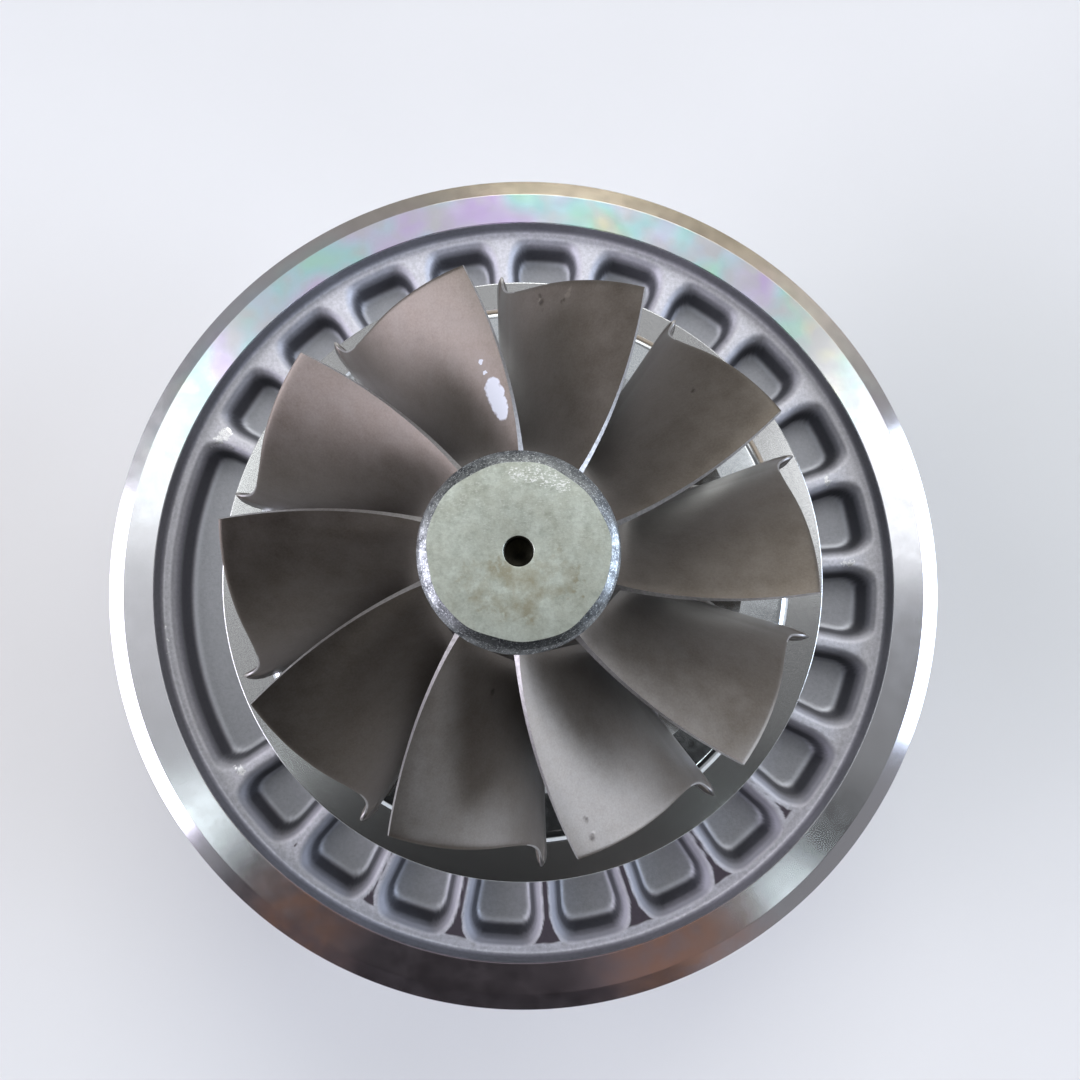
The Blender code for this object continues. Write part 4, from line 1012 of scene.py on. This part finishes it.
def build_seals():
    ring = [(100.2 + 1.7 * cos(a), -4.6 + 1.7 * sin(a)) for a in np.linspace(0, 2 * pi, 25)[:-1]]
    turned("cover_seal_ring", ring, BODY, [RUBBER], "seal_rubber", ["cover_o_ring"], 256,
           weighted=False)
    plate = fillet([(33.7, -4.8, 0.3), (33.7, 2.0, 0.3), (14.5, 2.0, 0.3), (11.8, 0.0, 0.2),
                    (11.8, -6.5, 0.2), (15.5, -6.5, 0.4), (18.5, -4.8, 0.8)])
    turned("oil_seal_disc", plate, BODY, [TURNED_IRON], "machined_iron", ["oil_seal_plate"], 200)
    clip = fillet([(33.7, -5.1, 0.15), (30.7, -5.1, 0.3), (30.7, -6.6, 0.3), (33.7, -6.6, 0.15)])
    turned("retaining_clip", clip, BODY, [STEEL], "bright_steel", ["retaining_ring"], 200)
    sleeve = fillet([(11.5, -1.3, 0.3), (11.5, -11.7, 0.3), (6.3, -11.7, 0.1), (6.3, -1.3, 0.1)])
    turned("thrust_sleeve_ring", sleeve, ROTOR, [STEEL], "bright_steel", ["thrust_sleeve"], 128)
    for node in ("journal_bearing_compressor_end", "journal_bearing_turbine_end"):
        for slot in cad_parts[node].material_slots:
            slot.material = BRONZE


build_pocket_field()
build_rim()
build_turbine_flange()
build_waist()
build_bolts()
build_shield()
build_blades()
build_turbine_hub()
build_impeller()
build_shaft_end()
build_nut()
build_seals()


# Floor, light and camera

FLOOR_Z, FLOOR_HALF = -0.0765, 40.0            # metres
CAMERA_PLACE = (0.0023, -0.01236, 0.29117)    # metres
CAMERA_TILT = (radians(4.73), radians(-0.37), 0.0)
LENS_MM, SENSOR_MM = 36.03, 36.0

# Far round softboxes: name, azimuth anticlockwise from +X, zenith from straight up and width in
# degrees, strength, colour
SUNS = (("key", 84, 50, 32, 1.0, (0.99, 1.0, 0.98)),
        ("fill_left", 165, 52, 30, 0.5, (1.0, 1.0, 1.0)),
        ("fill_right", 50, 52, 30, 0.38, (1.0, 1.0, 1.0)),
        ("left_high", 152, 22, 12, 0.05, (0.97, 1.0, 1.0)),
        ("right_high", 25, 22, 13, 0.062, (0.97, 0.98, 1.0)),
        ("left_low", 190, 76, 47, 3.05, (0.88, 0.85, 1.0)),
        ("right_low", 2, 76, 44, 3.3, (0.7, 0.81, 1.0)),
        ("lower_left_slot", 210, 22, 4, 0.026, (0.88, 0.99, 1.0)),
        ("lower_right_slot", 314, 22, 4, 0.026, (0.88, 0.98, 1.0)),
        ("rust_slot", 291, 22, 9, 0.008, (1.0, 0.9, 0.9)))


def build_floor():
    f = Finish("pale_floor", (0.72, 0.72, 0.72), 0.0, 0.7)
    darker, lighter = (0.69,) * 3, (0.74,) * 3
    f.put("Base Color", f.ramp(f.noise(0.004, 3.0), [(0.3, darker), (0.7, lighter)]))
    mesh = bpy.data.meshes.new("floor")
    mesh.from_pydata([(FLOOR_HALF * x, FLOOR_HALF * y, FLOOR_Z)
                      for x, y in ((-1, -1), (1, -1), (1, 1), (-1, 1))], [], [(0, 1, 2, 3)])
    mesh.materials.append(f.material)
    floor = add_object("floor", mesh)


def build_world():
    """A pale room: bright ceiling, dimmer walls, pale horizon, and a dark upper side towards -Y.
    z is the sine of the height above the horizon; azimuth is a part of half a turn from +X."""
    world = bpy.data.worlds.new("studio")
    bpy.context.scene.world = world
    world.use_nodes = True
    w = Nodes(world.node_tree)

    def step(value, low, high, to_low, to_high):
        return w.spread(value, low, high, to_low, to_high, "SMOOTHSTEP")

    way = w.node("ShaderNodeTexCoord").outputs["Generated"]
    x, y, z = w.node("ShaderNodeSeparateXYZ", {0: way}).outputs
    azimuth = w.maths("DIVIDE", w.maths("ARCTAN2", y, x), pi)
    room = step(z, 0.45, 0.8, 0.34, 0.62)
    horizon = step(z, 0.04, 0.26, 0.34, 0.0)
    side = step(w.off(azimuth, -0.478), 0.318, 0.348, 0.97, 0.0)
    dim_right = w.times(step(azimuth, 0.026, 0.046, 0.58, 0.0), step(azimuth, -0.5, -0.4, 0.0, 1.0))
    dim_left = w.times(step(azimuth, -0.98, -0.86, 0.0, 0.42), step(azimuth, -0.8, -0.7, 1.0, 0.0))
    upper_dark = w.maths("MAXIMUM", side, w.maths("MAXIMUM", dim_right, dim_left))
    upper_dark = w.times(upper_dark, step(z, 0.994, 0.9995, 1.0, 0.0))
    lower_dark = w.times(step(w.off(azimuth, -0.567), 0.18, 0.22, 0.97, 0.0),
                         step(z, 0.13, 0.24, 0.0, 1.0))
    high = step(z, 0.42, 0.56, 0.0, 1.0)
    dark = w.maths("ADD", w.times(upper_dark, high), w.times(lower_dark, w.less(1.0, high)))
    strength = w.maths("ADD", w.times(room, w.less(1.0, dark)), horizon)
    back = w.tree.nodes["Background"]
    w.link((0.98, 0.98, 1.0, 1.0), back.inputs["Color"])
    w.link(strength, back.inputs["Strength"])


def build_light():
    for name, azimuth, zenith, width, strength, colour in SUNS:
        data = bpy.data.lights.new(name, "SUN")
        data.angle, data.energy, data.color = radians(width), strength, colour
        a, e = radians(azimuth), radians(zenith)
        way = Vector((sin(e) * cos(a), sin(e) * sin(a), cos(e)))
        lamp = add_object(name, data)
        lamp.location = way
        lamp.rotation_euler = (-way).to_track_quat("-Z", "Y").to_euler()
    bpy.context.scene.view_settings.view_transform = "Standard"


def build_camera():
    data = bpy.data.cameras.new("camera")
    data.sensor_width, data.lens = SENSOR_MM, LENS_MM
    data.clip_start, data.clip_end = 0.01, 50.0
    camera = add_object("camera", data)
    camera.location, camera.rotation_euler = CAMERA_PLACE, CAMERA_TILT
    bpy.context.scene.camera = camera


build_floor()
build_world()
build_light()
build_camera()
